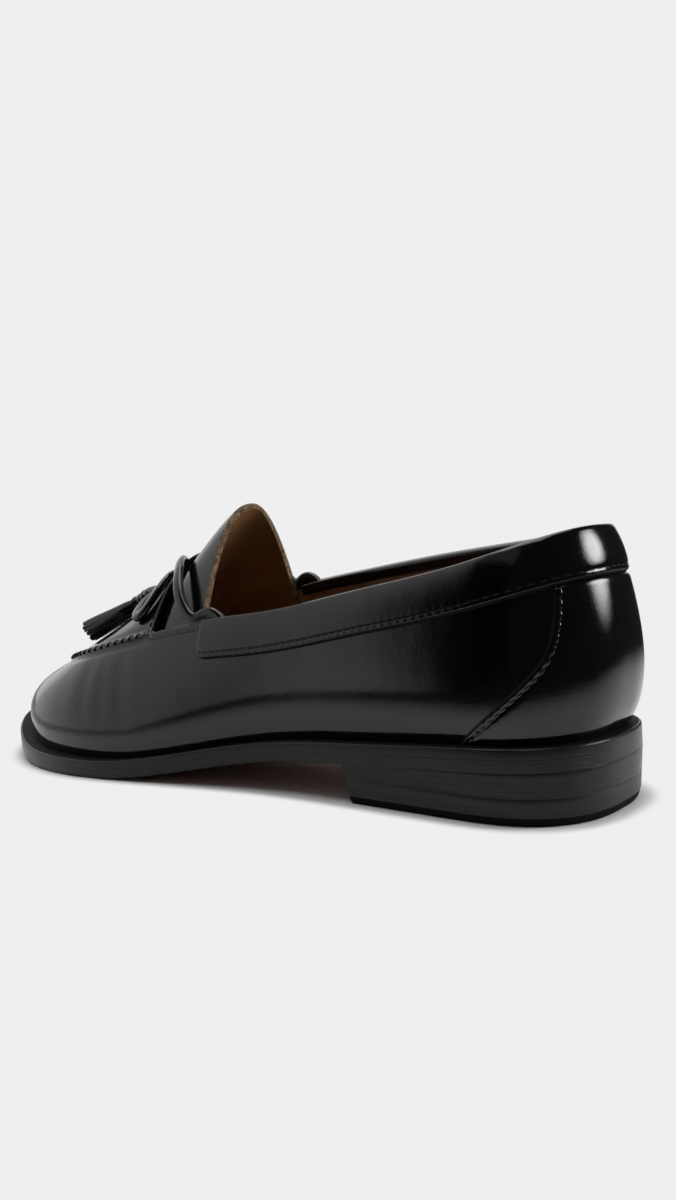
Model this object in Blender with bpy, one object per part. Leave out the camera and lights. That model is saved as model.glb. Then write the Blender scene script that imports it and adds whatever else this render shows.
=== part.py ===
"""A left tassel loafer as an assembly of closed solids, for Blender 4.5.

Sizes are in millimetres and become metres when a mesh is made. While a piece is worked out, y runs
from the back of the heel to the toe, +x is the medial side, and z = 0 is the floor. At the end the
whole shoe is set with the middle of its box over the origin.
"""

import bpy
import bmesh
import numpy as np

# Driving sizes
LENGTH = 296.0
WALL = 2.2
GAP = 0.3
HEEL_CAP = 40.0
HEEL_ROUND = 2.6
TOE_CAP = 66.0
TOE_ROUND = 2.25
COLLAR_BACK = 5.0
COLLAR_CAP = 30.0
COLLAR_ROUND = 2.4
APRON_TIP = 260.0
APRON_CAP = 50.0
APRON_ROUND = 2.2
MIDSOLE_THICK = 3.2
EDGE_EASE = 0.5
MIDSOLE_FLARE = 0.1
OUTSOLE_IN = 0.2
OUTSOLE_BEVEL = (1.4, 0.4, 1.2)
TOP_LIFT_HIGH = 8.3
LIFT_EDGE = 0.4
LIFT_FOOT = (0.9, 0.2, 0.3)
BREAST_FOOT = 80.4
BREAST_SLOPE = 0.13
HEEL_UNDERCUT = 1.3
HEEL_SEAT = 16.0
LIFT_BEVEL = 2.2
LIFT_LINES = (0.32, 0.64)
LIFT_GROOVE = 0.35
LIFT_GROOVE_HALF = 0.04
INSOLE_THICK = 2.5
INSOLE_CLEAR = 0.9
BAND_WIDE = 14.0
BAND_INSIDE = 3.5
BAND_THICK = 1.2
BAND_DROPS = (BAND_WIDE, 9.5, 5.0, 1.8)
BAND_CROWN = ((0.6, 1.2), (0.7, 1.1), 0.2)
COUNTER_THICK = 1.0
TONGUE_THICK = 1.8
TONGUE_BACK = 152.0
APRON_BACK = 177.0
TONGUE_TUCK = 12.0
TONGUE_SIDE_TUCK = 6.0
SEAM_HIGH = 1.3

# One row for each section along the last, from the heel to the toe
COLUMNS = ("y", "centre", "half", "sole_top", "sole_low", "feather",
           "top_y", "top_centre", "top_half", "lateral_z", "medial_z", "crown", "arch",
           "out_low", "rise_low", "out_high", "drop_high")
SECTIONS = np.array((
    (0, 0, 35, 23.4, 16.3, 5.0, COLLAR_BACK, 0, 25, 84.0, 84.0, 42, 2.3, 10, 12.4, 7.6, 24),
    (14, 0, 35, 23.2, 16.1, 5.0, 18, -0.1, 25.1, 80.2, 82.6, 42, 2.3, 5.2, 8.5, 7.0, 23.2),
    (35, 0, 35, 22.6, 15.5, 5.0, 38, -0.2, 25.2, 75.0, 80.6, 42, 2.3, 4.8, 7.5, 7.0, 22),
    (75, -0.5, 34.2, 20.4, 13.3, 5.0, 78, -0.3, 25.6, 67.8, 76.8, 42, 2.3, 4.4, 8.8, 6.4, 20),
    (118, -3, 33, 17.4, 10.3, 5.0, 118, -0.5, 27, 61.3, 71.8, 42, 2.3, 4.0, 13, 5, 18),
    (152, -5, 37, 12.1, 5.0, 5.2, 150, -1, 28.8, 58.2, 67.0, 42, 2.35, 4, 15, 5, 16),
    (190, -4, 46, 7.1, 0, 5.6, 185, -0.5, 31, 52.5, 58.0, 21.5, 2.2, 4, 15, 7, 13),
    (213, -1, 51, 6.8, -0.3, 6.0, 205, 0.5, 32.5, 48.5, 51.5, 14, 2.1, 4.5, 14, 9, 11),
    (237, 1.5, 50.5, 7.2, 0.1, 6.0, 226, 1.5, 32, 44.5, 46.0, 8.5, 2.2, 4.5, 13, 10, 9),
    (266, 4, 46, 10.7, 3.6, 6.0, 247, 3, 29, 41.0, 41.5, 5.3, 2.2, 4.5, 12, 14, 7),
    (LENGTH, 6, 41, 16.6, 9.5, 6.0, APRON_TIP, 4, 26, 39.5, 39.5, 4.5, 2.2, 4.5, 11, 17, 6),
))

# The counter's front edge: height over the floor and distance from the back of the heel
COUNTER_EDGE = np.array(((20, 41), (24, 37.2), (31, 29.2), (39, 20), (46.4, 13.2), (55.7, 9.9), (63, 9.6),
                         (72, 10.4)))

# The thong's route to the knot: place along the shoe, share of the way in from the edge,
# height over the leather, and height straight up over the end of the binding
THONG_ROUTE = ((146.5, 0.0, 0.0, 4.2), (151.5, 0.02, 0.6, 4.0), (159, 0.12, 1.6, 1.2), (168, 0.36, 1.7, 0),
               (177, 0.66, 1.7, 0), (182.6, 0.84, 1.9, 0))
LACE_WIDE = 4.6
LACE_THICK = 2.8
LOOP_CLEAR = 0.2
KNOT_X = 0.0
KNOT_Y = 187.0
KNOT_SIZE = (11.0, 9.0, 5.6)
# One loop of the bow: distance out from the knot's middle, and forward of it
LOOP_ROUTE = ((6.6, 0.0), (13, -3.0), (21, -3.6), (26, 1.0), (23, 5.6), (14, 5.6), (6.8, 3.6))
# A tassel from its neck to the ends of its strips: share of its length, radius, depth of the splits
TASSEL_PROFILE = ((0, 1.5, 0), (0.1, 1.5, 0), (0.15, 3.4, 0), (0.2, 4.6, 0), (0.27, 5.0, 0), (0.33, 4.6, 0),
                  (0.36, 4.0, 0), (0.39, 4.6, 0.1), (0.5, 5.4, 0.25), (0.75, 6.6, 0.35), (1, 7.6, 0.4))
TASSEL_START = 194.2
TASSEL_ROOT = 3.0
TASSEL_LONG = 41.0
TASSEL_SPREAD = 13.5
TASSEL_LIFT = (2.2, 5.6)
TASSEL_FLAT = 0.7
BAND_END = 149.5
COUNTER_FOOT = 0.05

# Counts of facets
STATIONS = 41
WALL_ROWS = 8
APRON_COLUMNS = 14


def spline(x, y):
    """Natural cubic curve through a short table."""
    count = len(x)
    step = np.diff(x)
    matrix = np.eye(count)
    right = np.zeros(count)
    for i in range(1, count - 1):
        matrix[i, i - 1:i + 2] = step[i - 1], 2 * (step[i - 1] + step[i]), step[i]
        right[i] = 6 * ((y[i + 1] - y[i]) / step[i] - (y[i] - y[i - 1]) / step[i - 1])
    bend = np.linalg.solve(matrix, right)

    def at(q):
        q = np.asarray(q, float)
        i = np.clip(np.searchsorted(x, q) - 1, 0, count - 2)
        a = x[i + 1] - q
        b = q - x[i]
        return ((bend[i] * a ** 3 + bend[i + 1] * b ** 3) / (6 * step[i])
                + (y[i] / step[i] - bend[i] * step[i] / 6) * a
                + (y[i + 1] / step[i] - bend[i + 1] * step[i] / 6) * b)

    return at


SECTION = {name: spline(SECTIONS[:, 0], SECTIONS[:, i]) for i, name in enumerate(COLUMNS)}


def cap(distance, reach, power):
    """Rounds an outline off over its last stretch: 0 at its end, 1 from reach on."""
    inside = np.clip(distance / reach, 0, 1)
    return (1 - (1 - inside) ** power) ** (1 / power)


def sole_half(y):
    return SECTION["half"](y) * cap(y, HEEL_CAP, HEEL_ROUND) * cap(LENGTH - y, TOE_CAP, TOE_ROUND)


def top_half(top_y):
    base = np.interp(top_y, DENSE_TOP, SECTION["top_half"](DENSE_Y))
    return base * cap(top_y - COLLAR_BACK, COLLAR_CAP, COLLAR_ROUND) * cap(
        APRON_TIP - top_y, APRON_CAP, APRON_ROUND)


DENSE_Y = LENGTH * (1 - np.cos(np.pi * np.linspace(0, 1, 4001))) / 2
DENSE_TOP = SECTION["top_y"](DENSE_Y)
EDGE_X = {side: SECTION["centre"](DENSE_Y) + side * sole_half(DENSE_Y) for side in (-1, 1)}


def normals_along(x, y, side):
    """Outward directions in plan along one side of an outline."""
    dx = np.gradient(x)
    dy = np.gradient(y)
    size = np.hypot(dx, dy)
    return np.stack((side * dy / size, -side * dx / size), 1)


EDGE_OUT = {side: normals_along(EDGE_X[side], DENSE_Y, side) for side in (-1, 1)}


def stations(count):
    """Places along the shoe, close together round heel and toe and wider along the sides."""
    run = np.hypot(np.diff(sole_half(DENSE_Y)), np.diff(DENSE_Y))
    middle = (DENSE_Y[1:] + DENSE_Y[:-1]) / 2
    pitch = 1.0 + 1.6 * np.sin(np.pi * np.clip(middle / LENGTH, 0, 1)) ** 2
    walked = np.concatenate(((0,), np.cumsum(run / pitch)))
    return np.interp(np.linspace(0, walked[-1], count + 1), walked, DENSE_Y)


def outline(side, y, inset=0.0):
    """Points of the sole's edge at the places y, moved in by inset."""
    x = np.interp(y, DENSE_Y, EDGE_X[side])
    out = np.stack([np.interp(y, DENSE_Y, EDGE_OUT[side][:, i]) for i in (0, 1)], 1)
    out /= np.linalg.norm(out, axis=1)[:, None]
    return np.stack((x, y), 1) - out * np.reshape(inset, (-1, 1)), out


def top_edge(side, y):
    """The wall's upper edge: the collar at the rear, the apron seam at the front."""
    top_y = SECTION["top_y"](y)
    x = SECTION["top_centre"](y) + side * top_half(top_y)
    z = SECTION["medial_z" if side > 0 else "lateral_z"](y)
    return np.stack((x, top_y, z), 1)


def wall(side, y, rise):
    """Points of the upper's outer face: rise is 0 at the sole and 1 at the top edge."""
    y = np.atleast_1d(np.asarray(y, float))
    foot, out = outline(side, y, SECTION["feather"](y))
    out = np.column_stack((out, np.zeros(len(y))))
    up = np.array((0, 0, 1.0))
    low = np.column_stack((foot, SECTION["sole_top"](y) + GAP))
    high = top_edge(side, y)
    pull_low = low + out * SECTION["out_low"](y)[:, None] + up * SECTION["rise_low"](y)[:, None]
    pull_high = high + out * SECTION["out_high"](y)[:, None] - up * SECTION["drop_high"](y)[:, None]
    t = np.reshape(rise, (-1, 1))
    rising = (1 - t) ** 3 * low + 3 * t * (1 - t) ** 2 * pull_low
    return rising + 3 * t * t * (1 - t) * pull_high + t ** 3 * high


def wall_normal(side, y, rise):
    """Outward direction of the wall's outer face."""
    y = np.atleast_1d(np.asarray(y, float))
    rise = np.broadcast_to(np.asarray(rise, float), y.shape)
    step_rise = 0.004
    climb = wall(side, y, np.minimum(rise + step_rise, 1)) - wall(side, y, np.maximum(rise - step_rise, 0))
    ahead = np.minimum(y + 0.02 + 0.002 * y, LENGTH)
    behind = np.maximum(y - 0.02 - 0.002 * (LENGTH - y), 0)
    along = wall(side, ahead, rise) - wall(side, behind, rise)
    along[y < 0.01] = (side, 0, 0)
    along[y > LENGTH - 0.01] = (-side, 0, 0)
    normal = np.cross(along, climb) * side
    return normal / np.linalg.norm(normal, axis=1)[:, None]


def drop_to_rise(side, y, drop):
    """The rise at which the wall lies the given distance below its top edge."""
    rises = np.linspace(1, 0.3, 141)
    result = []
    for place in np.atleast_1d(y):
        path = wall(side, np.full(len(rises), place), rises)
        walked = np.concatenate(((0,), np.cumsum(np.linalg.norm(np.diff(path, axis=0), axis=1))))
        result.append(np.interp(drop, walked, rises))
    return np.array(result)


def apron(y, across):
    """Points of the apron's outer face: across runs from 0, lateral, to 1, medial."""
    y = np.atleast_1d(np.asarray(y, float))
    across = np.broadcast_to(np.asarray(across, float), y.shape)
    left = top_edge(-1, y)
    right = top_edge(1, y)
    point = left + (right - left) * across[:, None]
    shrink = cap(APRON_TIP - SECTION["top_y"](y), APRON_CAP, APRON_ROUND)
    point[:, 2] += SECTION["crown"](y) * shrink * (1 - np.abs(2 * across - 1) ** SECTION["arch"](y))
    return point


def apron_normal(y, across):
    step_y = 0.05
    step_across = 0.002
    along = apron(y + step_y, across) - apron(y - step_y, across)
    over = apron(y, across + step_across) - apron(y, across - step_across)
    normal = np.cross(over, along)
    return normal / np.linalg.norm(normal, axis=1)[:, None]


def station_at(top_y):
    """The section whose top edge stands at top_y."""
    return np.interp(top_y, DENSE_TOP, DENSE_Y)


# Meshes
PIECES = []


def material(name, colour, roughness):
    made = bpy.data.materials.new(name)
    made.use_nodes = True
    shader = made.node_tree.nodes["Principled BSDF"]
    shader.inputs["Base Color"].default_value = (*colour, 1)
    shader.inputs["Roughness"].default_value = roughness
    shader.inputs["Metallic"].default_value = 0.0
    made.diffuse_color = (*colour, 1)
    return made


def add_piece(name, points, faces, finish):
    """Makes one closed solid, in metres, with its faces turned outwards."""
    mesh = bpy.data.meshes.new(name)
    mesh.from_pydata([tuple(p) for p in np.asarray(points, float) * 0.001], [], [tuple(f) for f in faces])
    work = bmesh.new()
    work.from_mesh(mesh)
    bmesh.ops.recalc_face_normals(work, faces=work.faces)
    bmesh.ops.triangulate(work, faces=work.faces)
    if work.calc_volume(signed=True) < 0:
        bmesh.ops.reverse_faces(work, faces=work.faces)
    work.to_mesh(mesh)
    work.free()
    mesh.shade_smooth()
    mesh.set_sharp_from_angle(angle=np.radians(40))
    mesh.materials.append(finish)
    made = bpy.data.objects.new(name, mesh)
    bpy.context.collection.objects.link(made)
    PIECES.append(made)
    return made


def thick_sheet(face, back, faces):
    """A closed solid between two sheets that share the same faces."""
    count = len(face)
    edges = {}
    for ring in faces:
        for a, b in zip(ring, ring[1:] + ring[:1]):
            edges[(a, b)] = True
    rims = [(a, b) for a, b in edges if (b, a) not in edges]
    solid = [tuple(ring) for ring in faces]
    solid += [tuple(i + count for i in reversed(ring)) for ring in faces]
    solid += [(b, a, a + count, b + count) for a, b in rims]
    return np.vstack((face, back)), solid


def vertex_normals(points, faces):
    normals = np.zeros_like(points)
    for ring in faces:
        corner = points[list(ring)]
        normal = np.cross(corner[1] - corner[0], corner[-1] - corner[0])
        if len(ring) == 4:
            normal = np.cross(corner[2] - corner[0], corner[3] - corner[1])
        for i in ring:
            normals[i] += normal
    return normals / np.linalg.norm(normals, axis=1)[:, None]


def grid_faces(rows, columns, loop=False):
    """Quads of a grid stored row by row. With loop, the last column meets the first."""
    faces = []
    for r in range(rows - 1):
        for c in range(columns if loop else columns - 1):
            d = (c + 1) % columns
            faces.append([r * columns + c, r * columns + d, (r + 1) * columns + d, (r + 1) * columns + c])
    return faces


def add_slab(name, rings, finish):
    """A solid piled up from rings: each ring is its lateral points and its medial points.

    Points that fall together at heel and toe are welded before the piece is added.
    """
    count = len(rings[0][0])
    points = np.vstack([np.vstack((lateral, medial[::-1])) for lateral, medial in rings])
    size = 2 * count
    faces = grid_faces(len(rings), size, loop=True)
    for r in (0, len(rings) - 1):
        for c in range(count - 1):
            faces.append([r * size + c, r * size + c + 1, r * size + size - 2 - c, r * size + size - 1 - c])
    keys = {}
    index = []
    kept = []
    for p in points:
        key = tuple(np.round(p, 4))
        if key not in keys:
            keys[key] = len(kept)
            kept.append(p)
        index.append(keys[key])
    welded = []
    for ring in faces:
        ring = [index[i] for i in ring]
        ring = [a for a, b in zip(ring, ring[1:] + ring[:1]) if a != b]
        if len(set(ring)) >= 3:
            welded.append(ring)
    return add_piece(name, np.array(kept), welded, finish)


for old in list(bpy.data.objects):
    bpy.data.objects.remove(old)

black_leather = material("black_leather", (0.012, 0.011, 0.011), 0.22)
black_edge = material("black_sole_edge", (0.016, 0.015, 0.015), 0.4)
brown_sole = material("brown_sole_leather", (0.22, 0.09, 0.05), 0.55)
tan_leather = material("tan_leather", (0.36, 0.22, 0.12), 0.6)
black_rubber = material("black_rubber", (0.02, 0.02, 0.02), 0.55)

PLACES = stations(STATIONS)


def ring_at(y, inset, z):
    """A level ring of the sole's outline: z may be a number or one value for each place."""
    height = np.broadcast_to(np.asarray(z, float), y.shape)
    return tuple(np.column_stack((outline(side, y, inset)[0], height)) for side in (-1, 1))


def make_soles():
    """Two layers of one sole edge, each with its corners eased."""
    top = SECTION["sole_top"](PLACES)
    split = top - MIDSOLE_THICK
    rings = [ring_at(PLACES, EDGE_EASE, split), ring_at(PLACES, MIDSOLE_FLARE, split + EDGE_EASE),
             ring_at(PLACES, 0.0, top - EDGE_EASE), ring_at(PLACES, EDGE_EASE, top)]
    add_slab("midsole", rings, black_edge)
    low = np.maximum(SECTION["sole_low"](PLACES), 0)
    high = split - GAP
    foot_in, side_in, rise = OUTSOLE_BEVEL
    rings = [ring_at(PLACES, foot_in, low), ring_at(PLACES, side_in, low + rise),
             ring_at(PLACES, OUTSOLE_IN, high - EDGE_EASE), ring_at(PLACES, OUTSOLE_IN + EDGE_EASE, high)]
    add_slab("outsole", rings, brown_sole)


def heel_ring(z_of, inset):
    """A ring of the heel block, closed by its breast, which leans forward as it rises."""
    share = np.linspace(0, 1, HEEL_PLACES)
    reference = np.interp(share, np.linspace(0, 1, len(HEEL_Y)), HEEL_Y)
    z = z_of(reference)
    y = reference * (BREAST_FOOT + BREAST_SLOPE * np.max(z)) / HEEL_Y[-1]
    z = z_of(y)
    return tuple(np.column_stack((outline(side, y, inset)[0], z)) for side in (-1, 1))


BREAST_REFERENCE = BREAST_FOOT + 3
HEEL_Y = np.append(PLACES[PLACES < BREAST_REFERENCE - 3], BREAST_REFERENCE)
HEEL_PLACES = len(HEEL_Y)


def make_heel():
    """The stacked lifts under the sole, and the top lift that meets the floor."""
    def flat(height):
        return lambda y: np.full(len(y), height)

    def undercut(height):
        return HEEL_UNDERCUT * (1 - height / HEEL_SEAT)

    foot_in, bevel_in, bevel_end = LIFT_FOOT
    rings = [heel_ring(flat(0.0), undercut(0) + foot_in),
             heel_ring(flat(LIFT_BEVEL), undercut(LIFT_BEVEL) + bevel_in),
             heel_ring(flat(LIFT_BEVEL + bevel_end), undercut(LIFT_BEVEL)),
             heel_ring(flat(TOP_LIFT_HIGH - LIFT_EDGE), undercut(TOP_LIFT_HIGH)),
             heel_ring(flat(TOP_LIFT_HIGH), undercut(TOP_LIFT_HIGH) + LIFT_EDGE)]
    add_slab("heel_top_lift", rings, black_rubber)

    base = TOP_LIFT_HIGH + GAP

    def lift(share):
        return lambda y: base + share * (SECTION["sole_low"](y) - GAP - base)

    levels = [(0, LIFT_GROOVE), (LIFT_GROOVE_HALF, 0)]
    for line in LIFT_LINES:
        levels += [(line - LIFT_GROOVE_HALF, 0), (line, LIFT_GROOVE), (line + LIFT_GROOVE_HALF, 0)]
    levels += [(1 - LIFT_GROOVE_HALF, 0), (1, LIFT_GROOVE)]
    rings = [heel_ring(lift(share), undercut(base + share * (HEEL_SEAT - base)) + cut) for share, cut in levels]
    add_slab("heel_stack", rings, black_edge)


def make_insole():
    """The footbed, inside the foot of the upper's wall."""
    inset = SECTION["feather"](PLACES) + WALL + INSOLE_CLEAR
    top = SECTION["sole_top"](PLACES) + GAP
    ease_top = 0.5
    rings = []
    for lift, ease in ((0, 0), (INSOLE_THICK - ease_top, 0), (INSOLE_THICK, ease_top)):
        sides = []
        for side in (-1, 1):
            plan = outline(side, PLACES, inset + ease)[0]
            centre = SECTION["centre"](PLACES)
            plan[:, 0] = np.where(side * (plan[:, 0] - centre) < 0, centre, plan[:, 0])
            sides.append(np.column_stack((plan, top + lift)))
        rings.append(tuple(sides))
    add_slab("insole", rings, tan_leather)


def make_upper():
    """Quarters, vamp sides and apron as one wall, open at collar, throat and underneath."""
    count = STATIONS
    round_y = np.concatenate((PLACES, PLACES[-2:0:-1]))
    round_side = np.array([-1] * (count + 1) + [1] * (count - 1))
    columns = len(round_y)
    rows = []
    for r in range(WALL_ROWS + 1):
        rise = (r / WALL_ROWS) ** 0.9
        row = np.zeros((columns, 3))
        for side in (-1, 1):
            pick = round_side == side
            row[pick] = wall(side, round_y[pick], np.full(pick.sum(), rise))
        rows.append(row)
    points = np.vstack(rows)
    faces = [ring[::-1] for ring in grid_faces(WALL_ROWS + 1, columns, loop=True)]

    start = int(np.argmin(np.abs(SECTION["top_y"](PLACES) - APRON_BACK)))
    across = (1 - np.cos(np.pi * np.arange(APRON_COLUMNS + 1) / APRON_COLUMNS)) / 2
    top = WALL_ROWS * columns
    index = {}
    extra = []
    for k in range(start, count):
        line = apron(np.full(APRON_COLUMNS + 1, PLACES[k]), across)
        for j in range(APRON_COLUMNS + 1):
            if j == 0:
                index[k, j] = top + k
            elif j == APRON_COLUMNS:
                index[k, j] = top + columns - k
            else:
                index[k, j] = len(points) + len(extra)
                extra.append(line[j])
    for j in range(APRON_COLUMNS + 1):
        index[count, j] = top + count
    points = np.vstack((points, extra))
    for k in range(start, count):
        for j in range(APRON_COLUMNS):
            ring = [index[k, j], index[k, j + 1], index[k + 1, j + 1], index[k + 1, j]]
            faces.append(list(dict.fromkeys(ring)))
    outward = vertex_normals(points, faces)
    inner = points - outward * WALL
    raised = points.copy()
    for k in list(range(start, count + 1)):
        for i in {top + k, top + (columns - k) % columns}:
            raised[i] += outward[i] * SEAM_HIGH
    return add_piece("upper", *thick_sheet(raised, inner, faces), black_leather)


def band_section(side, place):
    """One cut through the folded binding: up the outside, over the edge and down the inside."""
    drops = np.array(BAND_DROPS)
    y = np.full(len(drops), place)
    rises = np.array([drop_to_rise(side, place, d)[0] for d in drops])
    face = wall(side, y, rises)
    out = wall_normal(side, y, rises)
    edge = wall(side, place, 1.0)[0]
    edge_out = wall_normal(side, place, 1.0)[0]
    climb = edge - wall(side, place, 0.98)[0]
    climb /= np.linalg.norm(climb)
    inside_rise = drop_to_rise(side, place, BAND_INSIDE)[0]
    inside = wall(side, place, inside_rise)[0] - wall_normal(side, place, inside_rise)[0] * (WALL + GAP)
    inside_out = wall_normal(side, place, inside_rise)[0]
    far = GAP + BAND_THICK
    (inner_in, inner_up), (outer_out, outer_up), shoulder = BAND_CROWN
    inner = [p + n * GAP for p, n in zip(face, out)]
    inner += [edge + edge_out * GAP + climb * GAP, edge - edge_out * (WALL + GAP) + climb * GAP, inside]
    outer = [inside - inside_out * BAND_THICK,
             edge - edge_out * (WALL + far) + climb * shoulder,
             edge - edge_out * (WALL + inner_in) + climb * inner_up,
             edge - edge_out * WALL / 2 + climb * far,
             edge + edge_out * outer_out + climb * outer_up,
             edge + edge_out * far - climb * shoulder]
    outer += [p + n * far for p, n in zip(face[::-1][1:], out[::-1][1:])]
    return np.array(inner + outer)


def make_collar_band():
    """The binding folded over the topline, from one throat corner round the back to the other."""
    end = station_at(BAND_END)
    places = np.append(PLACES[PLACES < end - 3], end)
    cuts = [band_section(-1, place) for place in places[::-1]]
    cuts += [band_section(1, place) for place in places[1:]]
    size = len(cuts[0])
    faces = grid_faces(len(cuts), size, loop=True)
    faces += [list(range(size)), [(len(cuts) - 1) * size + i for i in reversed(range(size))]]
    add_piece("collar_band", np.vstack(cuts), faces, black_leather)


def counter_reach(side, share):
    """How far forward along the sole's edge the counter runs at a share of its height."""
    edge = spline(COUNTER_EDGE[:, 0], COUNTER_EDGE[:, 1])
    places = np.linspace(0.5, 60, 240)
    tops = drop_to_rise(side, places, BAND_WIDE + 2 * GAP)
    rises = COUNTER_FOOT + share * (tops - COUNTER_FOOT)
    points = wall(side, places, rises)
    ahead = points[:, 1] - edge(points[:, 2])
    return np.interp(0, ahead, places)


def counter_point(side, place, share):
    """A point of the wall under the counter, and its outward direction."""
    top = drop_to_rise(side, place, BAND_WIDE + 2 * GAP)[0]
    rise = COUNTER_FOOT + share * (top - COUNTER_FOOT)
    return wall(side, place, rise)[0], wall_normal(side, place, rise)[0]


def make_counter():
    """The outside counter, a panel over the back of the quarters, under the binding."""
    rows = 8
    half = 11
    walked = np.concatenate(((0,), np.cumsum(np.hypot(np.diff(sole_half(DENSE_Y)), np.diff(DENSE_Y)))))
    face = []
    back = []
    for r in range(rows + 1):
        share = r / rows
        reach = {side: np.interp(counter_reach(side, share), DENSE_Y, walked) for side in (-1, 1)}
        for c in range(-half, half + 1):
            side = -1 if c < 0 else 1
            place = np.interp(reach[side] * abs(c) / half, walked, DENSE_Y)
            point, out = counter_point(side, place, share)
            back.append(point + out * GAP)
            face.append(point + out * (GAP + COUNTER_THICK))
    faces = grid_faces(rows + 1, 2 * half + 1)
    add_piece("heel_counter", *thick_sheet(np.array(face), np.array(back), faces), black_leather)


def make_tongue():
    """A sheet under the apron's rear edge, its sides tucked inside the quarters."""
    first = station_at(TONGUE_BACK)
    last = station_at(APRON_BACK + TONGUE_TUCK)
    places = PLACES[(PLACES > first + 3) & (PLACES < last - 3)]
    places = np.concatenate(((first,), places, (last,)))
    across = (1 - np.cos(np.pi * np.arange(APRON_COLUMNS + 1) / APRON_COLUMNS)) / 2
    across = np.clip(across, 0.004, 0.996)
    face = []
    back = []
    for place in places:
        line = np.full(len(across), place)
        points = list(apron(line, across))
        outs = list(apron_normal(line, across))
        for side, slot in ((-1, 0), (1, len(points) + 1)):
            rise = drop_to_rise(side, place, TONGUE_SIDE_TUCK)[0]
            points.insert(slot, wall(side, place, rise)[0])
            outs.insert(slot, wall_normal(side, place, rise)[0])
        points = np.array(points)
        outs = np.array(outs)
        face.append(points - outs * (WALL + GAP))
        back.append(points - outs * (WALL + GAP + TONGUE_THICK))
    faces = grid_faces(len(places), len(across) + 2)
    add_piece("tongue", *thick_sheet(np.vstack(face), np.vstack(back), faces), tan_leather)


def vamp_point(x, top_y, lift=0.0):
    """A point over the apron at x and top_y, raised by lift along the surface's own direction."""
    place = station_at(top_y)
    left = top_edge(-1, np.array((place,)))[0]
    right = top_edge(1, np.array((place,)))[0]
    across = np.array((np.clip((x - left[0]) / (right[0] - left[0]), 0.004, 0.996),))
    line = np.array((place,))
    return apron(line, across)[0] + apron_normal(line, across)[0] * lift, apron_normal(line, across)[0]


def smooth_path(points, count):
    """A smooth curve through a few points, read at count places."""
    points = np.asarray(points, float)
    walked = np.concatenate(((0,), np.cumsum(np.linalg.norm(np.diff(points, axis=0), axis=1))))
    q = np.linspace(0, walked[-1], count)
    return np.stack([spline(walked, points[:, i])(q) for i in range(points.shape[1])], 1)


def lace(name, path, ups, wide, thick, sides=8):
    """A lace of oval section along a path, with closed ends."""
    along = np.gradient(path, axis=0)
    along /= np.linalg.norm(along, axis=1)[:, None]
    across = np.cross(along, ups)
    across /= np.linalg.norm(across, axis=1)[:, None]
    ups = np.cross(across, along)
    angle = 2 * np.pi * (np.arange(sides) + 0.5) / sides
    rings = []
    for p, a, u in zip(path, across, ups):
        rings.append(p + np.outer(np.cos(angle) * wide / 2, a) + np.outer(np.sin(angle) * thick / 2, u))
    faces = grid_faces(len(rings), sides, loop=True)
    faces += [list(range(sides)), [(len(rings) - 1) * sides + i for i in range(sides)]]
    add_piece(name, np.vstack(rings), faces, black_leather)


def make_thongs():
    """The lace comes up at each end of the collar band and crosses the vamp to the knot."""
    for name, side in (("thong_lateral", -1), ("thong_medial", 1)):
        path = []
        for top_y, share, lift, raised in THONG_ROUTE:
            edge_x = top_edge(side, np.array((station_at(top_y),)))[0][0]
            middle = SECTION["top_centre"](station_at(top_y))
            point = vamp_point(middle + (edge_x - middle) * (1 - share), top_y, lift)[0]
            path.append(point + np.array((0, 0, raised)))
        path = smooth_path(path, 16)
        ups = np.array([vamp_point(p[0], p[1])[1] for p in path])
        lace(name, path, ups, LACE_WIDE, LACE_THICK)


def make_bow():
    """A knot on the vamp with a loop to each side."""
    centre, up = vamp_point(KNOT_X, KNOT_Y)
    ahead = vamp_point(KNOT_X, KNOT_Y + 1)[0] - vamp_point(KNOT_X, KNOT_Y - 1)[0]
    ahead /= np.linalg.norm(ahead)
    side_way = np.cross(ahead, up)
    centre = centre + up * (GAP + KNOT_SIZE[2] / 2)
    rings = []
    rows = 8
    sides = 14
    power = 0.6
    for r in range(1, rows):
        polar = np.pi * r / rows - np.pi / 2
        for c in range(sides):
            turn = 2 * np.pi * c / sides
            level = np.sign(np.sin(polar)) * abs(np.sin(polar)) ** power
            girth = np.cos(polar) ** power
            x = np.sign(np.cos(turn)) * abs(np.cos(turn)) ** power * girth
            y = np.sign(np.sin(turn)) * abs(np.sin(turn)) ** power * girth
            rings.append(centre + side_way * x * KNOT_SIZE[0] / 2 + ahead * y * KNOT_SIZE[1] / 2
                         + up * level * KNOT_SIZE[2] / 2)
    count = rows - 1
    points = np.vstack((rings, centre - up * KNOT_SIZE[2] / 2, centre + up * KNOT_SIZE[2] / 2))
    faces = grid_faces(count, sides, loop=True)
    for c in range(sides):
        faces.append([len(points) - 2, (c + 1) % sides, c])
        faces.append([len(points) - 1, (count - 1) * sides + c, (count - 1) * sides + (c + 1) % sides])
    add_piece("bow_knot", points, faces, black_leather)

    for name, side in (("bow_loop_lateral", -1), ("bow_loop_medial", 1)):
        route = smooth_path([(KNOT_X + side * reach, KNOT_Y + along) for reach, along in LOOP_ROUTE], 22)
        path = np.array([vamp_point(x, y, GAP + LACE_THICK / 2 + LOOP_CLEAR)[0] for x, y in route])
        ups = np.array([vamp_point(x, y)[1] for x, y in route])
        lace(name, path, ups, LACE_WIDE, LACE_THICK)


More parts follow.
